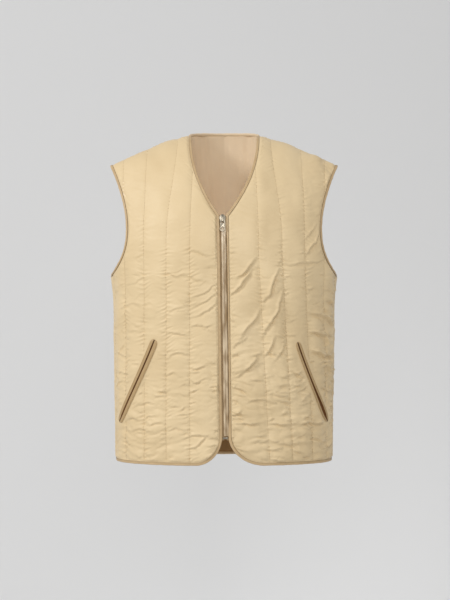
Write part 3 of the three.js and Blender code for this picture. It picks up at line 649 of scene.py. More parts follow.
def nearPocket(panel, s, z):
    # 1 at a pocket's line, falling to 0 a short way off
    near = np.zeros_like(s)
    for pocket in pockets:
        if panels[pocket["panel"]] is not panel:
            continue
        start, along, _, length = pocketLine(pocket)
        ds, dz = np.abs(s) - start[0], z - start[1]
        t = np.clip((ds * along[0] + dz * along[1]) / length, 0, 1)
        lineS, lineZ = pocketPlace(pocket, t, 0)
        away = np.hypot(np.abs(s) - lineS, z - lineZ)
        near = np.maximum(near, 1 - smooth(away, *pocketFlat))
    return near


def edgeDistance(panel, s, z):
    # about how far a place lies inside the panel's own edge
    face = panel["face"]
    point, _ = clothPlace(face, s, z)
    x, y = np.abs(point[..., 0]), np.abs(point[..., 1])
    edge = z - bottomAt(panel, s)
    arm = np.minimum(armholeX(z) - x, y)
    edge = np.where(z > outline["underarm"], np.minimum(edge, arm), edge)
    if face == "front":
        front = np.abs(s) - lineLength(panel, 0, z)
        # the level distance from the V neck, shortened for its slope
        neck = 0.85 * (x - neckEdgeX(panel["side"], z))
        return np.minimum(edge, np.where(z > outline["neckPoint"], neck, front))
    return np.where(x < outline["neckHalf"], np.minimum(edge, topCurve("back", x) - z), edge)


def insideHeight(panel, s, z, pillow):
    # the lining is plain but for slight channels and long soft folds hanging from the neck
    shift = 31.7 * panel["index"]
    hang = noise(11, s / 17 + 0.006 * (z + 60) + shift, z / 120) - 0.5
    fold = quilting["insideFold"] * hang * smooth(z, *quilting["insideFoldHeights"])
    return quilting["insidePuff"] * pillow + fold


def clothHeight(panel, s, z, inside=False):
    # face of the cloth above its middle: pillows between the lines of stitches, creases,
    # puckers beside the lines and edges and wrinkles, all thinning out at an edge
    z = np.asarray(z, float)
    s = np.asarray(s, float)
    far = np.abs(s)
    lines = np.stack([lineLength(panel, k, z) for k in range(quilting["channels"] + 2)])
    channel = np.clip((far[None] >= lines).sum(0) - 1, 0, quilting["channels"])
    start = np.take_along_axis(lines, channel[None], 0)[0]
    end = np.take_along_axis(lines, channel[None] + 1, 0)[0]
    f = np.clip((far - start) / np.maximum(1, end - start), 0, 1)
    pillow = np.maximum(0, 4 * f * (1 - f)) ** quilting["puffCurve"]
    if inside:
        return insideHeight(panel, s, z, pillow)
    right = f > 0.5
    nearest = np.where(right, channel + 1, channel)
    reach = np.where(right, end - far, far - start)
    if panel["face"] == "back":
        # the back's two halves pucker differently
        nearest = np.where(s < 0, nearest + quilting["channels"] + 2, nearest)
    fade = np.exp(-reach / creaseStyle["puckerReach"])
    pucker = puckerHeight(panel, nearest, right, reach, z) * fade
    calm = 1 - panel["chestCalm"] * smooth(z, *creaseStyle["chestCalmHeights"])
    full = smooth(-z, *quilting["chestDepths"])
    chest = quilting["chestShare"] + (1 - quilting["chestShare"]) * full
    toSeam = smooth(sideSeam(panel["face"], z) - far, 0, creaseStyle["seamCalm"])
    left = creaseStyle["seamShare"]
    seam = np.where(z > outline["underarm"], 1, left + (1 - left) * toSeam)
    relief = quilting["puff"] * pillow * chest
    relief = relief + panel["creased"] * creaseHeight(panel, s, z) * seam
    relief = relief + creaseStyle["puckerHeight"] * pucker * calm * seam
    relief = relief + creaseStyle["wrinkleHeight"] * wrinkleHeight(panel, s, z) * seam
    edge = edgeDistance(panel, s, z)
    turns = puckerTurns[panel["index"], -1, (s > 0).astype(int)]
    gust = noise(0, (far - z) / 38 + 3.9, 41.3 + 6 * (s > 0))
    hem = creaseStyle["edgePucker"] * ripple(turns, far - z, gust)
    relief = relief + hem * np.exp(-np.maximum(0, edge) / creaseStyle["edgePuckerReach"])
    flat = nearPocket(panel, s, z)
    relief = relief * (1 - flat) + (quilting["puff"] + 0.1) * flat
    taper = smooth(edge, quilting["edgeFlat"], quilting["edgeTaper"])
    return shape["wall"] / 2 + np.maximum(-0.5, relief) * taper


# Meshes

def makeMesh(name, points, faces, materials, uv=None, slots=None):
    mesh = bpy.data.meshes.new(name)
    faces = np.ascontiguousarray(faces, np.int32)
    count, corners = faces.shape
    mesh.vertices.add(len(points))
    mesh.vertices.foreach_set("co", (np.asarray(points) * mm).astype(np.float32).ravel())
    mesh.loops.add(count * corners)
    mesh.loops.foreach_set("vertex_index", faces.ravel())
    mesh.polygons.add(count)
    mesh.polygons.foreach_set("loop_start", np.arange(0, count * corners, corners, dtype=np.int32))
    if slots is not None:
        mesh.polygons.foreach_set("material_index", np.ascontiguousarray(slots, np.int32))
    mesh.update(calc_edges=True)
    if uv is not None:
        layer = mesh.uv_layers.new(name="flat")
        layer.data.foreach_set("uv", (np.asarray(uv) * mm).astype(np.float32)[faces.ravel()].ravel())
    mesh.shade_smooth()
    for material in materials:
        mesh.materials.append(material)
    piece = bpy.data.objects.new(name, mesh)
    bpy.context.scene.collection.objects.link(piece)
    return piece


def gridFaces(ids, closedAcross=False):
    # two triangles for each cell of a grid of vertex numbers
    if closedAcross:
        ids = np.concatenate([ids, ids[:, :1]], 1)
    a, b, c, d = ids[:-1, :-1], ids[1:, :-1], ids[1:, 1:], ids[:-1, 1:]
    return np.concatenate([
        np.stack([a, b, c], -1).reshape(-1, 3),
        np.stack([a, c, d], -1).reshape(-1, 3),
    ])


def weld(points, faces, uv, slots):
    # joins vertices that lie at one place and drops the faces that this leaves without an area
    keys = np.round(points / 0.004).astype(np.int64)
    _, first, place = np.unique(keys, axis=0, return_index=True, return_inverse=True)
    place = place.ravel()
    faces = place[faces]
    whole = (faces[:, 0] != faces[:, 1]) & (faces[:, 1] != faces[:, 2]) & (faces[:, 0] != faces[:, 2])
    return points[first], faces[whole], uv[first], slots[whole]


def turnedOut(points, faces):
    # the faces turned so that the closed mesh has a volume above 0
    a, b, c = (points[faces[:, k]] for k in range(3))
    volume = np.einsum("ij,ij->i", a, np.cross(b, c)).sum()
    return faces if volume > 0 else faces[:, ::-1]


def sweep(rings, closed):
    # a closed profile carried along a path: rings[i, j] is corner j at step i
    steps, corners = rings.shape[:2]
    ids = np.arange(steps * corners).reshape(steps, corners)
    points = rings.reshape(-1, 3)
    if closed:
        return points, turnedOut(points, gridFaces(np.concatenate([ids, ids[:1]]), True))
    faces = [gridFaces(ids, True)]
    for row, flip in ((0, True), (steps - 1, False)):
        middle = len(points)
        points = np.concatenate([points, rings[row].mean(0, keepdims=True)])
        fan = np.stack([np.full(corners, middle), ids[row], np.roll(ids[row], -1)], -1)
        faces.append(fan if flip else fan[:, ::-1])
    # the two fans close the tube at its ends
    faces = np.concatenate(faces)
    return points, turnedOut(points, faces)


# Materials

def linear(hexColour):
    # an sRGB hex colour as the linear values that shaders take
    parts = [int(hexColour[k:k + 2], 16) / 255 for k in (1, 3, 5)]
    return tuple(p / 12.92 if p <= 0.04045 else ((p + 0.055) / 1.055) ** 2.4 for p in parts) + (1.0,)


def addNode(tree, kind, values=None, links=None, **settings):
    # a Mix node of colours takes its share at input 0 and its colours at 6 and 7, and gives
    # its result at output 2
    node = tree.nodes.new("ShaderNode" + kind)
    for name, value in settings.items():
        setattr(node, name, value)
    for name, value in (values or {}).items():
        node.inputs[name].default_value = value
    for name, source in (links or {}).items():
        tree.links.new(source, node.inputs[name])
    return node


def startMaterial(name):
    material = bpy.data.materials.new(name)
    material.use_nodes = True
    tree = material.node_tree
    tree.nodes.clear()
    return material, tree


def waveScale(apart):
    # scale of a wave texture for bands this many millimetres apart: at scale 1 they lie
    # pi / 10 of a metre apart
    return math.pi / 10 / (apart * mm)


def finishMaterial(tree, shader):
    addNode(tree, "OutputMaterial", links={"Surface": shader.outputs["BSDF"]})


def makeNylonTaffeta(name, light, dark, roughness, crinkle, sheen=0.07, paintedShade=None):
    # nylon taffeta, plain woven and calendered: a smooth tight face with a soft broad shine,
    # finely crinkled by the wadding and the sewing
    material, tree = startMaterial(name)
    uv = addNode(tree, "UVMap", uv_map="flat").outputs["UV"]
    drift = addNode(tree, "TexNoise", {"Scale": 9.0, "Detail": 3.0}, {"Vector": uv})
    tone = addNode(tree, "MapRange", {"From Min": 0.3, "From Max": 0.7}, {"Value": drift.outputs["Fac"]})
    colour = addNode(
        tree, "Mix", {6: linear(dark), 7: linear(light)}, {0: tone.outputs["Result"]}, data_type="RGBA"
    )
    if paintedShade:
        # painted shade: darker towards the hem, where shade falls in the closed lower inside; the second
        # coordinate of the flat map is the height
        parts = addNode(tree, "SeparateXYZ", None, {"Vector": uv})
        low = addNode(
            tree, "MapRange", {"From Min": paintedShade["top"] * mm, "From Max": paintedShade["full"] * mm},
            {"Value": parts.outputs["Y"]},
        )
        colour = addNode(
            tree, "Mix", {7: linear(paintedShade["colour"])}, {0: low.outputs["Result"], 6: colour.outputs[2]},
            data_type="RGBA",
        )
    # crinkles about 14 mm long and 5 mm high
    stretched = addNode(tree, "Mapping", {"Scale": (70, 190, 1)}, {"Vector": uv})
    crinkles = addNode(
        tree, "TexNoise", {"Scale": 1.0, "Detail": 3.0, "Roughness": 0.55, "Distortion": 0.6},
        {"Vector": stretched.outputs["Vector"]},
    )
    # the threads lie 0.2 mm apart, too fine to show, and are drawn about 2 mm apart
    warp = addNode(tree, "TexWave", {"Scale": waveScale(1.97)}, {"Vector": uv}, bands_direction="X")
    weft = addNode(tree, "TexWave", {"Scale": waveScale(1.97)}, {"Vector": uv}, bands_direction="Y")
    threads = addNode(
        tree, "Math", None, {0: warp.outputs["Fac"], 1: weft.outputs["Fac"]}, operation="MULTIPLY"
    )
    soft = addNode(
        tree, "Bump", {"Strength": crinkle, "Distance": 0.0012}, {"Height": crinkles.outputs["Fac"]}
    )
    fine = addNode(
        tree, "Bump", {"Strength": 0.12, "Distance": 0.0002},
        {"Height": threads.outputs["Value"], "Normal": soft.outputs["Normal"]},
    )
    shine = addNode(
        tree, "MapRange", {"To Min": roughness - 0.05, "To Max": roughness + 0.07},
        {"Value": crinkles.outputs["Fac"]},
    )
    shader = addNode(
        tree, "BsdfPrincipled",
        {"IOR": 1.53, "Sheen Weight": sheen, "Sheen Roughness": 0.45, "Specular IOR Level": 0.42},
        {
            "Base Color": colour.outputs[2],
            "Roughness": shine.outputs["Result"],
            "Normal": fine.outputs["Normal"],
        },
    )
    finishMaterial(tree, shader)
    return material


foldShade = {"colour": "#6E5330", "full": 1.0, "end": 1.9}  # shaded fold beside the cloth


def makeSatinBinding(name, light, dark, shaded=True):
    # satin-woven polyester binding, folded over the edge: shinier than the cloth, with
    # fine ribs across it and small puckers from the sewing
    material, tree = startMaterial(name)
    uv = addNode(tree, "UVMap", uv_map="flat").outputs["UV"]
    drift = addNode(tree, "TexNoise", {"Scale": 60.0, "Detail": 2.0}, {"Vector": uv})
    colour = addNode(
        tree, "Mix", {6: linear(dark), 7: linear(light)}, {0: drift.outputs["Fac"]}, data_type="RGBA"
    )
    if shaded:
        # the second coordinate of the flat map runs round the fold, from the cloth outwards
        parts = addNode(tree, "SeparateXYZ", None, {"Vector": uv})
        fold = addNode(
            tree, "MapRange", {"From Min": foldShade["full"] * mm, "From Max": foldShade["end"] * mm},
            {"Value": parts.outputs["Y"]},
        )
        colour = addNode(
            tree, "Mix", {6: linear(foldShade["colour"])},
            {0: fold.outputs["Result"], 7: colour.outputs[2]}, data_type="RGBA",
        )
    # ribs 0.5 mm apart in the real tape, too fine to show, and drawn about 2.2 mm apart
    slanted = addNode(tree, "Mapping", {"Rotation": (0, 0, 0.45)}, {"Vector": uv})
    ribs = addNode(
        tree, "TexWave", {"Scale": waveScale(2.17), "Distortion": 0.4},
        {"Vector": slanted.outputs["Vector"]}, bands_direction="X",
    )
    bump = addNode(tree, "Bump", {"Strength": 0.35, "Distance": 0.0003}, {"Height": ribs.outputs["Fac"]})
    shader = addNode(
        tree, "BsdfPrincipled",
        {"Roughness": 0.42, "IOR": 1.55, "Sheen Weight": 0.06, "Sheen Roughness": 0.35, "Anisotropic": 0.3},
        {"Base Color": colour.outputs[2], "Normal": bump.outputs["Normal"]},
    )
    finishMaterial(tree, shader)
    return material


def makeHerringboneTape(name, light, dark):
    # woven polyester zip tape: matt, with a herringbone 2 mm wide
    material, tree = startMaterial(name)
    uv = addNode(tree, "UVMap", uv_map="flat").outputs["UV"]
    parts = addNode(tree, "SeparateXYZ", None, {"Vector": uv})
    fold = addNode(tree, "Math", {1: 0.002}, {0: parts.outputs["X"]}, operation="PINGPONG")
    along = addNode(tree, "Math", None, {0: fold.outputs["Value"], 1: parts.outputs["Y"]}, operation="ADD")
    # diagonals 0.6 mm apart in the real tape, drawn 1 mm apart
    turn = addNode(tree, "Math", {1: 6283.0}, {0: along.outputs["Value"]}, operation="MULTIPLY")
    wave = addNode(tree, "Math", None, {0: turn.outputs["Value"]}, operation="SINE")
    tone = addNode(
        tree, "MapRange", {"From Min": -1.0, "From Max": 1.0}, {"Value": wave.outputs["Value"]}
    )
    colour = addNode(
        tree, "Mix", {6: linear(dark), 7: linear(light)}, {0: tone.outputs["Result"]}, data_type="RGBA"
    )
    bump = addNode(tree, "Bump", {"Strength": 0.4, "Distance": 0.0002}, {"Height": tone.outputs["Result"]})
    shader = addNode(
        tree, "BsdfPrincipled", {"Roughness": 0.7, "Sheen Weight": 0.2},
        {"Base Color": colour.outputs[2], "Normal": bump.outputs["Normal"]},
    )
    finishMaterial(tree, shader)
    return material


def makeCoatedCoil(name, light, dark):
    # nylon coil under a clear film, glossy; the long soft light and dark streaks down it are painted
    # reflections in its colour
    material, tree = startMaterial(name)
    place = addNode(tree, "TexCoord").outputs["Object"]
    # painted reflections: noise drawn out along the chain mixes a light and a dark colour into streaks
    stretched = addNode(tree, "Mapping", {"Scale": (120, 120, 26)}, {"Vector": place})
    drift = addNode(
        tree, "TexNoise", {"Scale": 1.0, "Detail": 2.0}, {"Vector": stretched.outputs["Vector"]}
    )
    tone = addNode(tree, "MapRange", {"From Min": 0.3, "From Max": 0.7}, {"Value": drift.outputs["Fac"]})
    colour = addNode(
        tree, "Mix", {6: linear(dark), 7: linear(light)}, {0: tone.outputs["Result"]}, data_type="RGBA"
    )
    shader = addNode(
        tree, "BsdfPrincipled",
        {"Roughness": 0.3, "IOR": 1.53, "Coat Weight": 0.6, "Coat Roughness": 0.12},
        {"Base Color": colour.outputs[2]},
    )
    finishMaterial(tree, shader)
    return material


def makePlatedZinc(name, colour):
    # die-cast zinc, tumbled smooth and nickel plated: pale, with fine rubbed marks
    material, tree = startMaterial(name)
    place = addNode(tree, "TexCoord").outputs["Object"]
    marks = addNode(tree, "TexNoise", {"Scale": 900.0, "Detail": 3.0}, {"Vector": place})
    rough = addNode(
        tree, "MapRange", {"To Min": 0.3, "To Max": 0.42}, {"Value": marks.outputs["Fac"]}
    )
    bump = addNode(tree, "Bump", {"Strength": 0.1, "Distance": 0.00005}, {"Height": marks.outputs["Fac"]})
    shader = addNode(
        tree, "BsdfPrincipled", {"Base Color": linear(colour), "Metallic": 1.0},
        {"Roughness": rough.outputs["Result"], "Normal": bump.outputs["Normal"]},
    )
    finishMaterial(tree, shader)
    return material


def makeThread(name, colour):
    # spun polyester sewing thread, matt with a faint twist; darker than the cloth, partly its own tone and
    # partly painted shade for the grooves it lies in
    material, tree = startMaterial(name)
    place = addNode(tree, "TexCoord").outputs["Object"]
    # the twist is 0.3 mm long, too fine to show, and drawn 3.2 mm long; diagonal bands lie
    # twice as far apart as the others
    twist = addNode(
        tree, "TexWave", {"Scale": 2 * waveScale(3.16)}, {"Vector": place}, bands_direction="DIAGONAL"
    )
    bump = addNode(tree, "Bump", {"Strength": 0.3, "Distance": 0.0001}, {"Height": twist.outputs["Fac"]})
    shader = addNode(
        tree, "BsdfPrincipled", {"Base Color": linear(colour), "Roughness": 0.62, "Sheen Weight": 0.2},
        {"Normal": bump.outputs["Normal"]},
    )
    finishMaterial(tree, shader)
    return material


cloth = makeNylonTaffeta("nylon_taffeta", "#E4CCA2", "#DAC196", 0.5, 0.45)
# painted shade: the lining darkens low down inside, where shade falls between front and back
paintedHemShade = {"colour": "#96703D", "top": -575, "full": -622}  # the inside darkens low down
lining = makeNylonTaffeta("nylon_lining", "#FAE5C6", "#F1D9B8", 0.46, 0.25, paintedShade=paintedHemShade)
satin = makeSatinBinding("satin_binding", "#D2B68B", "#BC9E73")
# a lighter copy of the satin: painted light for the back neck's binding, with no painted shade in its fold
paintedLightSatin = makeSatinBinding("satin_binding_painted_light", "#E8D2B2", "#DBC29F", shaded=False)
welt = makeSatinBinding("welt_cloth", "#C0A275", "#AC8E61")
tape = makeHerringboneTape("herringbone_tape", "#C2A67C", "#AF9169")
coil = makeCoatedCoil("coated_coil", "#E4CFAE", "#93764E")
zinc = makePlatedZinc("nickel_plated_zinc", "#A39A89")
# the thread's dark colour is partly painted shade along the grooves
thread = makeThread("polyester_thread", "#AD9267")
# the pocket's bag, dark brown as painted shade in the slit between the lips
shade = makeNylonTaffeta("pocket_bag_painted_shade", "#6A400F", "#50300A", 0.85, 0.2, 0.0)
print("materials made")


# Panels

grid = {
    "topRows": 34,  # rows over the roll of the shoulder, closer together at the top
    "topZone": 60,
    "topCurve": 1.8,
    "rowStep": {"front": 2.4, "back": 3},
    "underarmRows": 13,  # extra rows where the armhole leaves the side seam
    "underarmStep": 0.08,
    "lowRows": {"front": 165, "back": 130},
    "shoulderFrom": 190,  # below this depth the rows are level
    "cornerZone": 130,
    "edgeColumns": 34,
    "edgeCurve": 1.7,
    "channelColumns": {"front": 25, "back": 16},
    "lastColumns": {"front": 19, "back": 16},
}


def rowDepths(face):
    # depth of each row of the grid below the top of the panel
    top = grid["topZone"] * (np.arange(grid["topRows"]) / grid["topRows"]) ** grid["topCurve"]
    extra = grid["underarmStep"] * np.arange(grid["underarmRows"], 0, -1) ** 2
    arm = -outline["underarm"]
    middle = np.arange(grid["topZone"], arm - extra[0] - 1, grid["rowStep"][face])
    low = np.linspace(arm, -outline["hem"], grid["lowRows"][face])
    return np.concatenate([top, middle, arm - extra, low])


def panelGrid(panel):
    # flat length and height at each row and column: columns follow the lines of stitches and
    # are cut off at the neck and the armhole, rows turn from level to the shoulder line
    face = panel["face"]
    h = rowDepths(face)[:, None]
    follow = 1 - smooth(h, 0, grid["shoulderFrom"])
    drop = np.clip(1 - (-outline["hem"] - h) / grid["cornerZone"], 0, 1)
    fractions = []
    for k in range(quilting["channels"] + 1):
        if face == "front" and k == 0:
            f = (np.arange(grid["edgeColumns"]) / grid["edgeColumns"]) ** grid["edgeCurve"]
        else:
            name = "lastColumns" if k == quilting["channels"] else "channelColumns"
            f = np.arange(grid[name][face]) / grid[name][face]
        fractions += [(k, value) for value in f]
    fractions.append((quilting["channels"], 1.0))

    def columnLengths(z):
        lines = [lineLength(panel, k, z) for k in range(quilting["channels"] + 2)]
        columns = [
            lines[k][:, i] + (lines[k + 1][:, i] - lines[k][:, i]) * f
            for i, (k, f) in enumerate(fractions)
        ]
        return np.stack(columns, 1)

    hemLevel = np.full((1, len(fractions)), outline["hem"], float)
    lift = bottomAt(panel, columnLengths(hemLevel)) - outline["hem"]
    # right end of each row, on the side seam, the armhole or the shoulder tip
    xEnd = armholeX(-h)
    for _ in range(12):
        zEnd = topCurve(face, xEnd) * follow - h
        xEnd = armholeX(zEnd)
    sEnd = np.where(
        zEnd <= outline["underarm"], sideSeam(face, zEnd), xToAcross(face, xEnd, zEnd)
    )
    if face == "front":
        zStart = -h + lift[:, :1] * drop
        edge = lineLength(panel, 0, zStart)
        neck = xToAcross(face, neckEdgeX(panel["side"], zStart), zStart)
        sStart = np.where(zStart > outline["neckPoint"], neck, edge)
    else:
        zStart = topCurve(face, 0) * follow - h
        sStart = np.zeros_like(h)
    z = np.repeat(-h, len(fractions), 1)
    for _ in range(10):
        s = np.clip(columnLengths(z), sStart, sEnd)
        z = topCurve(face, acrossToX(face, s, z)) * follow - h + lift * drop
    s = columnLengths(z)
    z = np.where(s >= sEnd - 0.01, zEnd, z)
    z = np.where(s <= sStart + 0.01, zStart, z)
    s = np.where(s >= sEnd - 0.01, sEnd, s)
    s = np.where(s <= sStart + 0.01, sStart, s)
    if face == "front":
        return s * panel["side"], z
    return np.concatenate([-s[:, :0:-1], s], 1), np.concatenate([z[:, :0:-1], z], 1)


def makePanel(panel):
    s, z = panelGrid(panel)
    point, out = clothPlace(panel["face"], s, z)
    high = clothHeight(panel, s, z)
    low = shape["wall"] / 2 + clothHeight(panel, s, z, inside=True)
    outer = point + out * high[..., None]
    inner = point - out * low[..., None]
    rows, columns = s.shape
    count = rows * columns
    ids = np.arange(count).reshape(rows, columns)
    over = gridFaces(ids)
    under = gridFaces(ids + count)[:, ::-1]
    rims = []
    for line in (ids[0], ids[:, -1], ids[-1, ::-1], ids[::-1, 0]):
        rims.append(gridFaces(np.stack([line, line + count])))
    faces = np.concatenate([over, under] + rims)
    slots = np.zeros(len(faces), int)
    slots[len(over):len(over) + len(under)] = 1
    points = np.concatenate([outer.reshape(-1, 3), inner.reshape(-1, 3)])
    flat = np.stack([s, z], -1).reshape(-1, 2)
    points, faces, flat, slots = weld(points, faces, np.concatenate([flat, flat]), slots)
    piece = makeMesh(
        panel["name"] + "_quilted", points, turnedOut(points, faces), [cloth, lining], flat, slots
    )
    area = np.linalg.norm(
        np.cross(point[1:, :-1] - point[:-1, :-1], point[:-1, 1:] - point[:-1, :-1]), axis=-1
    ).sum()
    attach(piece, "vest")
    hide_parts(panel["name"])
    return {"piece": piece, "s": s, "z": z, "area": area * mm * mm}


made = {key: makePanel(panel) for key, panel in panels.items()}
print("panels made")


# Bound edges

binding = {
    # section of the folded tape: out from the cloth's edge, up from its middle
    "section": np.array([
        (-0.7, 1.2), (-0.65, 1.9), (-0.1, 2.5), (0.7, 2.75), (1.5, 2.4), (2.1, 2.1), (2.8, 2.45),
        (3.8, 2.6), (4.7, 1.9), (5.2, 0.7), (5.2, -0.7), (4.8, -1.7), (4.0, -2.3), (2.6, -2.45),
        (1.0, -2.35), (-0.4, -2.1), (-1.0, -1.8), (-1.1, -1.3), (0.2, -1.15), (0.2, 1.15),
    ]),
    "step": 2.5,
    "pucker": 0.22,
    "puckerLengths": (7.5, 3.9),
    "tight": 0.42,  # share of its width lost beside the zip, on the wearer's left
    "tightFrom": (190, 230),  # depths over which the narrowing comes in and goes out
    "tightTo": (590, 625),
    "tightWithin": 30,  # of the middle
    "stitchUp": 2.15,
}


def resample(point, out, step, closed=False):
    # the same path with its points evenly apart
    if closed:
        point, out = np.concatenate([point, point[:1]]), np.concatenate([out, out[:1]])
    lengths = np.linalg.norm(np.diff(point, axis=0), axis=1)
    keep = np.concatenate([[True], lengths > 1e-4])
    point, out = point[keep], out[keep]
    at = np.concatenate([[0], np.cumsum(np.linalg.norm(np.diff(point, axis=0), axis=1))])
    count = max(4, int(round(at[-1] / step)))
    want = np.linspace(0, at[-1], count + 1)
    if closed:
        want = want[:-1]
    point = np.stack([np.interp(want, at, point[:, k]) for k in range(3)], -1)
    out = np.stack([np.interp(want, at, out[:, k]) for k in range(3)], -1)
    return point, out / np.linalg.norm(out, axis=1, keepdims=True), want


def pathFrame(point, out, off, closed=False):
    # unit ways along the path and off the panel
    if closed:
        along = np.roll(point, -1, 0) - np.roll(point, 1, 0)
    else:
        along = np.gradient(point, axis=0)
    along = along / np.linalg.norm(along, axis=1, keepdims=True)
    away = np.cross(along, out) * off
    return along, away / np.linalg.norm(away, axis=1, keepdims=True)


bindingPaths = {}


def makeBinding(node, point, out, off, closed=False):
    point, out, at = resample(point, out, binding["step"], closed)
    _, away = pathFrame(point, out, off, closed)
    tight = np.zeros_like(at)
    if node == "binding_front_left":
        # the chain crowds this binding beside the zip
        z = point[:, 2]
        tight = smooth(-z, *binding["tightFrom"]) * (1 - smooth(-z, *binding["tightTo"]))
        tight = tight * (np.abs(point[:, 0]) < binding["tightWithin"])
    section = binding["section"]
    long, short = binding["puckerLengths"]
    ripple = noise(7, at / long + len(node) * 3.7, np.full_like(at, len(node) * 1.3)) - 0.5
    ripple = ripple + 0.6 * (noise(8, at / short + 5.1, np.full_like(at, len(node) * 0.7)) - 0.5)
    grow = 1 + binding["pucker"] * ripple[:, None, None]
    up = section[None, :, 1:2] * np.where(np.abs(section[None, :, 1:2]) > 1.6, grow, 1)
    side = section[None, :, :1] + 0.5 * ripple[:, None, None] * (section[None, :, :1] > 3)
    side = side * (1 - binding["tight"] * tight[:, None, None] * (section[None, :, :1] > 0))
    rings = point[:, None] + away[:, None] * side + out[:, None] * up
    points, faces = sweep(rings, closed)
    girth = np.concatenate([[0], np.cumsum(np.linalg.norm(np.diff(section, axis=0), axis=1))])
    uv = np.stack(np.broadcast_arrays(at[:, None], girth[None]), -1).reshape(-1, 2)
    uv = np.concatenate([uv, np.zeros((len(points) - len(uv), 2))])
    # the back neck's binding takes the lighter copy of the satin, as painted light on that edge
    material = paintedLightSatin if node == "binding_neck_back" else satin
    piece = makeMesh(node + "_satin", points, faces, [material], uv)
    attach(piece, "vest")
    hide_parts(node)
    bindingPaths[node] = (point, out, off, closed)
    print("cut of", node, round(at[-1] + (binding["step"] if closed else 0)), "mm long")
    return piece


def edgePath(key, rows, columns):
    s, z = made[key]["s"][rows, columns], made[key]["z"][rows, columns]
    return clothPlace(panels[key]["face"], s, z)


def joined(*parts):
    return np.concatenate([p[0] for p in parts]), np.concatenate([p[1] for p in parts])


def armRows(key):
    return np.nonzero(made[key]["z"][:, -1] >= outline["underarm"] - 0.01)[0]


bindings = {}
for key in ("left", "right"):
    side = panels[key]["side"]
    hemPart = edgePath(key, -1, slice(None, None, -1))
    edgePart = edgePath(key, slice(-2, None, -1), 0)
    path = joined(hemPart, edgePart)
    bindings["front_" + key] = makeBinding("binding_front_" + key, *path, -side)
    backColumn = -1 if side > 0 else 0
    frontArm = edgePath(key, armRows(key)[::-1], -1)
    backArm = edgePath("back", armRows("back"), backColumn)
    path = joined(frontArm, backArm)
    bindings["armhole_" + key] = makeBinding("binding_armhole_" + key, *path, side, closed=True)
bindings["hem_back"] = makeBinding("binding_hem_back", *edgePath("back", -1, slice(None)), -1)
neckPath = edgePath("back", 0, slice(None))
atNeck = np.abs(neckPath[0][:, 0]) <= outline["neckHalf"] + 1
bindings["neck_back"] = makeBinding("binding_neck_back", neckPath[0][atNeck], neckPath[1][atNeck], 1)
print("bindings made")


# Sewing

stitch = {
    "pitch": 3.6,
    "length": 2.7,
    "radius": 0.3,
    "sides": 5,
    "bindingPitch": 3.0,
    "bindingLength": 2.2,
    "bindingIn": 2.1,  # from the cloth's edge, in the hollow along the tape
}


def makeStitches(name, centre, along, out, length=None):
    # small capsules along a path: two rings of a few sides and a point at each end
    length = length or stitch["length"]
    turns = np.arange(stitch["sides"]) * 2 * math.pi / stitch["sides"]
    side = np.cross(along, out)
    side /= np.linalg.norm(side, axis=1, keepdims=True)
    out = np.cross(side, along)
    radius = stitch["radius"]
    parts = []
    for end in (-1, 1):
        around = out[:, None] * np.cos(turns)[None, :, None] + side[:, None] * np.sin(turns)[None, :, None]
        ring = centre[:, None] + along[:, None] * (end * length * 0.36) + radius * around
        tip = centre[:, None] + (along * end * length / 2 - out * radius)[:, None]
        parts += [ring, tip]
    points = np.concatenate([parts[0], parts[2], parts[1], parts[3]], 1)
    n = stitch["sides"]
    i = np.arange(n)
    j = (i + 1) % n
    template = np.concatenate([
        np.stack([i, j, j + n], -1),
        np.stack([i, j + n, i + n], -1),
        np.stack([np.full(n, 2 * n), j, i], -1),
        np.stack([np.full(n, 2 * n + 1), i + n, j + n], -1),
    ])
    each = 2 * n + 2
    faces = (template[None] + np.arange(len(centre))[:, None, None] * each).reshape(-1, 3)
    points = points.reshape(-1, 3)
    piece = makeMesh(name, points, turnedOut(points, faces), [thread])
    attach(piece, "vest")
    return piece


def insidePanel(panel, s, z, margin):
    point, _ = clothPlace(panel["face"], s, z)
    x = np.abs(point[..., 0])
    ok = (z > bottomAt(panel, s) + margin) & (z < topCurve(panel["face"], x) - margin)
    ok &= (z < outline["underarm"]) | (x < armholeX(z) - margin)
    if panel["face"] == "front":
        ok &= (z < outline["neckPoint"]) | (x > neckEdgeX(panel["side"], z) + margin)
    return ok


def quiltStitches(key):
    # every line of stitches of a panel, sunk in its groove
    panel = panels[key]
    z = np.arange(outline["hem"] + 3, 8, stitch["pitch"])
    places = []
    for k in range(0 if key == "back" else 1, quilting["channels"] + 1):
        for side in ((1,) if k == 0 else (1, -1)) if key == "back" else (panel["side"],):
            s = lineLength(panel, k, z) * side
            ok = insidePanel(panel, s, z, 2.5)
            ok &= np.abs(s) < sideSeam(panel["face"], z) - 4
            if key != "back":
                ok &= nearPocket(panel, s, z) < 0.5
            places.append((s[ok], z[ok]))
    s = np.concatenate([p[0] for p in places])
    z = np.concatenate([p[1] for p in places])

    def onFace(z):
        point, out = clothPlace(panel["face"], s, z)
        return point + out * (clothHeight(panel, s, z) + 0.12)[:, None], out

    centre, out = onFace(z)
    along = onFace(z + 0.8)[0] - onFace(z - 0.8)[0]
    along /= np.linalg.norm(along, axis=1, keepdims=True)
    return makeStitches(panel["name"] + "_stitches", centre, along, out)


sewing = {key: quiltStitches(key) for key in panels}
for name, (point, out, off, closed) in bindingPaths.items():
    point, out, _ = resample(point, out, stitch["bindingPitch"], closed)
    along, away = pathFrame(point, out, off, closed)
    centre = point + away * stitch["bindingIn"] + out * binding["stitchUp"]
    sewing[name] = makeStitches(name + "_stitches", centre, along, out, stitch["bindingLength"])
print("sewing made")


# Pockets

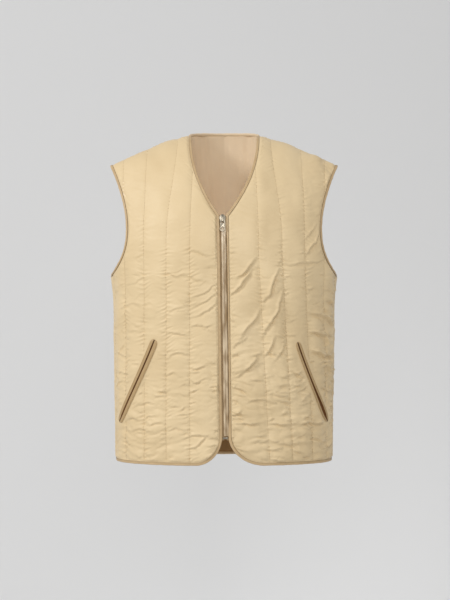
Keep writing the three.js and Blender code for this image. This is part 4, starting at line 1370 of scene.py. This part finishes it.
lip = {
    "slit": 3.0,
    "gapeAt": 4.4,  # the higher, the nearer its lower end a pocket gapes
    "thickness": 1.6,
    "base": 4.6,  # under side above the middle of the cloth
    "steps": 90,
    "corners": 22,
    "endRound": 0.05,  # share of its length over which a lip rounds off
    "endWidth": 0.45,
    "acrossPower": 0.8,  # powers of the lip's section
    "upPower": 0.7,
    "pinch": 0.35,
    "pinchLength": 6.5,
    "sewnAt": 0.8,  # share of its width at which a lip is sewn down
    "press": 0.35,
    "pressWidth": 0.1,
}

mouth = {
    "rows": 80,
    "columns": 9,
    "tuck": 0.7,  # how far it runs under each lip
    "sink": 0.1,
    "dish": 0.35,
    "thickness": 0.5,
}


def flatMap(u, v):
    # flat map of a tube: a place for each corner of its rings, and for its two end points
    uv = np.stack(np.broadcast_arrays(u, v), -1).reshape(-1, 2)
    return np.concatenate([uv, uv[:1], uv[-1:]])


def lipEdges(pocket, t):
    # the slit opens towards the lower end and closes round at both ends
    gape = pocket["gape"] * np.sin(math.pi * t ** lip["gapeAt"])
    half = (lip["slit"] / 2 + gape) * np.minimum(1, 12 * np.minimum(t, 1 - t)) ** 0.5
    end = np.clip(np.minimum(t, 1 - t) / lip["endRound"], 0, 1)
    full = lip["endWidth"] + (1 - lip["endWidth"]) * np.sqrt(np.maximum(0, 1 - (1 - end) ** 2))
    return half, full


def makeLip(pocket, which):
    # a rounded strip beside the slit: a superellipse section carried along the pocket's line
    panel = panels[pocket["panel"]]
    length = pocketLine(pocket)[3]
    t = np.linspace(0, 1, lip["steps"])
    half, full = lipEdges(pocket, t)
    width = pocket[which] * full
    sign = 1 if which == "outer" else -1
    turns = np.arange(lip["corners"]) * 2 * math.pi / lip["corners"]
    cosine, sine = np.cos(turns), np.sin(turns)
    sideways = np.sign(cosine) * np.abs(cosine) ** lip["acrossPower"]
    upward = np.sign(sine) * np.abs(sine) ** lip["upPower"]
    offset = half[:, None] + width[:, None] * (0.5 + 0.5 * sideways[None])
    pinch = noise(9, t * length / lip["pinchLength"], np.full_like(t, 3.3 if sign > 0 else 8.1)) - 0.5
    thick = lip["thickness"] * (1 + lip["pinch"] * pinch[:, None]) * (0.35 + 0.65 * full[:, None])
    up = lip["base"] + thick * (0.5 + 0.5 * upward[None])
    # a row of sewing presses the lip down near its outer edge
    share = (offset - half[:, None]) / width[:, None]
    press = np.exp(-((share - lip["sewnAt"]) / lip["pressWidth"]) ** 2)
    up = up - lip["press"] * press * (upward[None] > 0)
    s, z = pocketPlace(pocket, t[:, None], sign * offset)
    point, out = clothPlace("front", s * panel["side"], z)
    rings = point + out * up[..., None]
    points, faces = sweep(rings, False)
    node = f"pocket_lip_{which}_{pocket['panel']}"
    piece = makeMesh(node + "_welt", points, faces, [welt], flatMap((t * length)[:, None], offset))
    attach(piece, "vest")
    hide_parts(node)
    # sewing along the lip
    t = np.arange(6, length - 6, stitch["bindingPitch"]) / length
    half, full = lipEdges(pocket, t)
    s, z = pocketPlace(pocket, t, sign * (half + pocket[which] * full * lip["sewnAt"]))
    point, out = clothPlace("front", s * panel["side"], z)
    centre = point + out * (lip["base"] + lip["thickness"] - 0.15)
    ahead = np.gradient(centre, axis=0)
    ahead /= np.linalg.norm(ahead, axis=1, keepdims=True)
    sewn = makeStitches(node + "_stitches", centre, ahead, out, stitch["bindingLength"])
    return piece, sewn


def makeSlit(pocket):
    # dark mouth of the pocket: a strip of its bag between the lips, sunk below their tops; its dark brown
    # is painted shade in the slit
    panel = panels[pocket["panel"]]
    length = pocketLine(pocket)[3]
    t = np.linspace(0.004, 0.996, mouth["rows"])
    half, _ = lipEdges(pocket, t)
    q = np.linspace(-1, 1, mouth["columns"])
    offset = (half[:, None] + mouth["tuck"]) * q[None]
    up = lip["base"] - mouth["sink"] + mouth["dish"] * np.abs(q[None]) ** 2 + 0 * offset
    s, z = pocketPlace(pocket, t[:, None], offset)
    point, out = clothPlace("front", s * panel["side"], z)
    top = point + out * up[..., None]
    low = point + out * (up - mouth["thickness"])[..., None]
    rings = np.concatenate([top, low[:, ::-1]], 1)
    points, faces = sweep(rings, False)
    uv = flatMap((t * length)[:, None], np.concatenate([offset, offset[:, ::-1]], 1))
    piece = makeMesh(f"pocket_mouth_{pocket['panel']}", points, faces, [shade], uv)
    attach(piece, "vest")
    return piece


pocketPieces = {"left": [], "right": []}
for pocket in pockets:
    for which in ("outer", "inner"):
        pocketPieces[pocket["panel"]] += makeLip(pocket, which)
    pocketPieces[pocket["panel"]].append(makeSlit(pocket))
print("pockets made")


# Zip

chain = {
    "up": 1.5,  # side and crown of the strip above the middle of the cloth
    "crown": 0.75,
    "under": -2.2,
    "above": 4,  # the chain starts this far above the slider's middle
    "groove": 0.7,
    "toothPitch": 2.0,
    "toothHeight": 0.16,
    "rowStep": 0.5,
    "columns": 19,
    "shift": 2.1,  # the coil lies nearer the wearer's left binding
    "gap": 1.8,  # above the box
    "waves": ((37.0, 0.10, 0.3), (61.0, 0.14, 1.9), (23.0, 0.05, 4.0)),
}


def zipPlaces(offset, z):
    x = zipX(z) + offset
    return clothPlace("front", xToAcross("front", x, z), z)


def makeChain():
    # two rounded bands that meet in a groove, each with its loops of coil showing through
    # the film as small ribs, and a slow wave along them
    top = zipSizes["sliderZ"] + chain["above"]
    z = np.arange(zipSizes["bottom"] + chain["gap"], top, chain["rowStep"])
    half = zipSizes["chainHalf"]
    offset, z2 = np.meshgrid(half * np.linspace(-1, 1, chain["columns"]), z)
    q = np.abs(offset) / half
    band = np.maximum(0, 1 - (2 * q - 1) ** 2) ** 0.5
    side = np.sign(offset) + (offset == 0)
    ribs = 0.5 + 0.5 * np.cos(2 * math.pi * (z2 / chain["toothPitch"] + 0.25 * side))
    wave = sum(h * np.sin(2 * math.pi * z2 / w + t + 0.8 * side) for w, h, t in chain["waves"])
    up = chain["up"] - chain["groove"] + (chain["crown"] + chain["groove"]) * band
    up = up + chain["toothHeight"] * ribs * band + wave * band * (2 * q - 0.6)
    point, out = zipPlaces(offset + chain["shift"], z2)
    high = point + out * up[..., None]
    low = (point + out * chain["under"])[:, ::6]
    rings = np.concatenate([high, low[:, ::-1]], 1)
    points, faces = sweep(rings, False)
    piece = makeMesh("zip_chain_coil", points, faces, [coil])
    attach(piece, "vest")
    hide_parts("zip_chain")


tapeSize = {
    "inner": 2.4,
    "outer": 18,
    "behind": 3.2,
    "thick": 1.0,
    "belowChain": 7,
    "aboveSlider": 8,
    "rows": 180,
    "ridges": ((0.15, 0.2, 0.06), (0.108, 0.97, 0.04)),  # height, share of the width and spread
    "wave": 0.15,
    "waveLength": 9.0,
}


def makeTape(key, side):
    # woven strip with a stitched ridge beside the coil and a soft selvedge
    top = zipSizes["sliderZ"] + tapeSize["aboveSlider"]
    z = np.linspace(zipSizes["bottom"] - tapeSize["belowChain"], top, tapeSize["rows"])
    q, z2 = np.meshgrid(np.linspace(0, 1, 15), z)
    across = tapeSize["inner"] + (tapeSize["outer"] - tapeSize["inner"]) * q
    ridgeUp = sum(h * np.exp(-((q - at) / spread) ** 2) for h, at, spread in tapeSize["ridges"])
    wave = tapeSize["wave"] * np.sin(z2 / tapeSize["waveLength"]) * q
    point, out = zipPlaces(side * across, z2)
    high = point + out * (-tapeSize["behind"] + ridgeUp + wave)[..., None]
    low = point + out * (-tapeSize["behind"] - tapeSize["thick"] + wave)[..., None]
    rings = np.concatenate([high, low[:, ::-1]], 1)
    points, faces = sweep(rings, False)
    uv = flatMap(np.concatenate([across, across[:, ::-1]], 1), z[:, None])
    node = "zip_tape_" + key
    piece = makeMesh(node + "_woven", points, faces, [tape], uv)
    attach(piece, "vest")
    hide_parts(node)
    return piece


metal = {"bevel": 0.35, "segments": 3, "angle": 32}


def makeCast(node, name, body):
    # the cast piece with its edges rounded as die casting and tumbling leave them
    piece = bpy.data.objects.new(name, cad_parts[node].data.copy())
    bpy.context.scene.collection.objects.link(piece)
    piece.hide_render = False
    bpy.context.view_layer.objects.active = piece
    mesh = piece.data
    work = bmesh.new()
    work.from_mesh(mesh)
    bmesh.ops.remove_doubles(work, verts=work.verts, dist=0.00002)
    bmesh.ops.dissolve_limit(work, angle_limit=math.radians(1), verts=work.verts, edges=work.edges)
    work.to_mesh(mesh)
    work.free()
    mesh.materials.clear()
    mesh.materials.append(zinc)
    mesh.shade_smooth()
    bevel = piece.modifiers.new("rounded_edges", "BEVEL")
    bevel.width = metal["bevel"] * mm
    bevel.segments = metal["segments"]
    bevel.limit_method = "ANGLE"
    bevel.angle_limit = math.radians(metal["angle"])
    bevel.harden_normals = True
    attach(piece, body)
    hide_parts(node)


makeChain()
tapes = {key: makeTape(key, side) for key, side in (("left", 1), ("right", -1))}
makeCast("zip_slider", "slider_cast", "vest")
makeCast("zip_box", "box_cast", "vest")
makeCast("zip_pull_tab", "pull_tab_cast", "pull_tab")
print("zip made")


# Each sheet of cloth: the lengths between its rows and the pieces sewn to it, gathered here

for key, panel in panels.items():
    s = made[key]["s"]
    rise = np.linalg.norm(np.diff(clothPlace(panel["face"], s, made[key]["z"])[0], axis=0), axis=-1)
    together = [sewing[key]]
    if key != "back":
        together += [bindings["front_" + key], bindings["armhole_" + key], tapes[key]] + pocketPieces[key]
        together += [sewing["binding_front_" + key], sewing["binding_armhole_" + key]]
    else:
        together += [bindings["hem_back"], bindings["neck_back"]]
        together += [sewing["binding_hem_back"], sewing["binding_neck_back"]]


# Studio

studio = {
    "floor": -2300,
    "wall": 1900,
    "curve": 900,
    "half": 5000,
    "front": -5200,
    "top": 3200,
    "grey": "#DEDEDE",
    "world": 0.53,
}


def makePaper(name, grey):
    material, tree = startMaterial(name)
    place = addNode(tree, "TexCoord").outputs["Object"]
    grain = addNode(tree, "TexNoise", {"Scale": 300.0}, {"Vector": place})
    bump = addNode(tree, "Bump", {"Strength": 0.02, "Distance": 0.0005}, {"Height": grain.outputs["Fac"]})
    shader = addNode(
        tree, "BsdfPrincipled",
        {"Base Color": linear(grey), "Roughness": 0.95, "Specular IOR Level": 0.1},
        {"Normal": bump.outputs["Normal"]},
    )
    # clear from behind, so that the vest shows from every side
    away = addNode(tree, "NewGeometry").outputs["Backfacing"]
    clear = addNode(tree, "BsdfTransparent")
    both = addNode(tree, "MixShader", None, {0: away, 1: shader.outputs["BSDF"], 2: clear.outputs["BSDF"]})
    addNode(tree, "OutputMaterial", links={"Surface": both.outputs["Shader"]})
    return material


def makeBackdrop():
    # floor, a quarter circle and the wall in one sweep
    turns = np.linspace(0, math.pi / 2, 24)
    bendY = studio["wall"] - studio["curve"] + studio["curve"] * np.sin(turns)
    bendZ = studio["floor"] + studio["curve"] * (1 - np.cos(turns))
    y = np.concatenate([[studio["front"]], bendY, [studio["wall"]]])
    z = np.concatenate([[studio["floor"]], bendZ, [studio["top"]]])
    x = np.array([-studio["half"], studio["half"]], float)
    points = np.stack([
        np.repeat(x[None], len(y), 0), np.repeat(y[:, None], 2, 1), np.repeat(z[:, None], 2, 1)
    ], -1)
    ids = np.arange(points.shape[0] * 2).reshape(-1, 2)
    paper = makePaper("studio_paper", studio["grey"])
    makeMesh("backdrop", points.reshape(-1, 3), gridFaces(ids)[:, ::-1], [paper])


lights = [
    # name, place, size, watts, aimed at
    ("key", (-3600, -2550, 2000), 1400, 93, (0, -60, -450)),
    ("front", (100, -3500, 1000), 1300, 35, (0, -60, -380)),
    ("wall", (250, 500, -1750), 1000, 5.5, (250, 1900, -1200)),  # behind the vest, on the paper
]


def addLights():
    for name, place, size, power, target in lights:
        data = bpy.data.lights.new(name, "AREA")
        data.shape = "SQUARE"
        data.size = size * mm
        data.energy = power
        lamp = bpy.data.objects.new(name, data)
        lamp.location = [v * mm for v in place]
        way = Vector(target) - Vector(place)
        lamp.rotation_euler = way.to_track_quat("-Z", "Y").to_euler()
        bpy.context.scene.collection.objects.link(lamp)
    world = bpy.data.worlds.new("studio")
    bpy.context.scene.world = world
    world.use_nodes = True
    glow = world.node_tree.nodes["Background"]
    glow.inputs["Color"].default_value = (1, 1, 1, 1)
    glow.inputs["Strength"].default_value = studio["world"]


makeBackdrop()
addLights()
print("studio made")
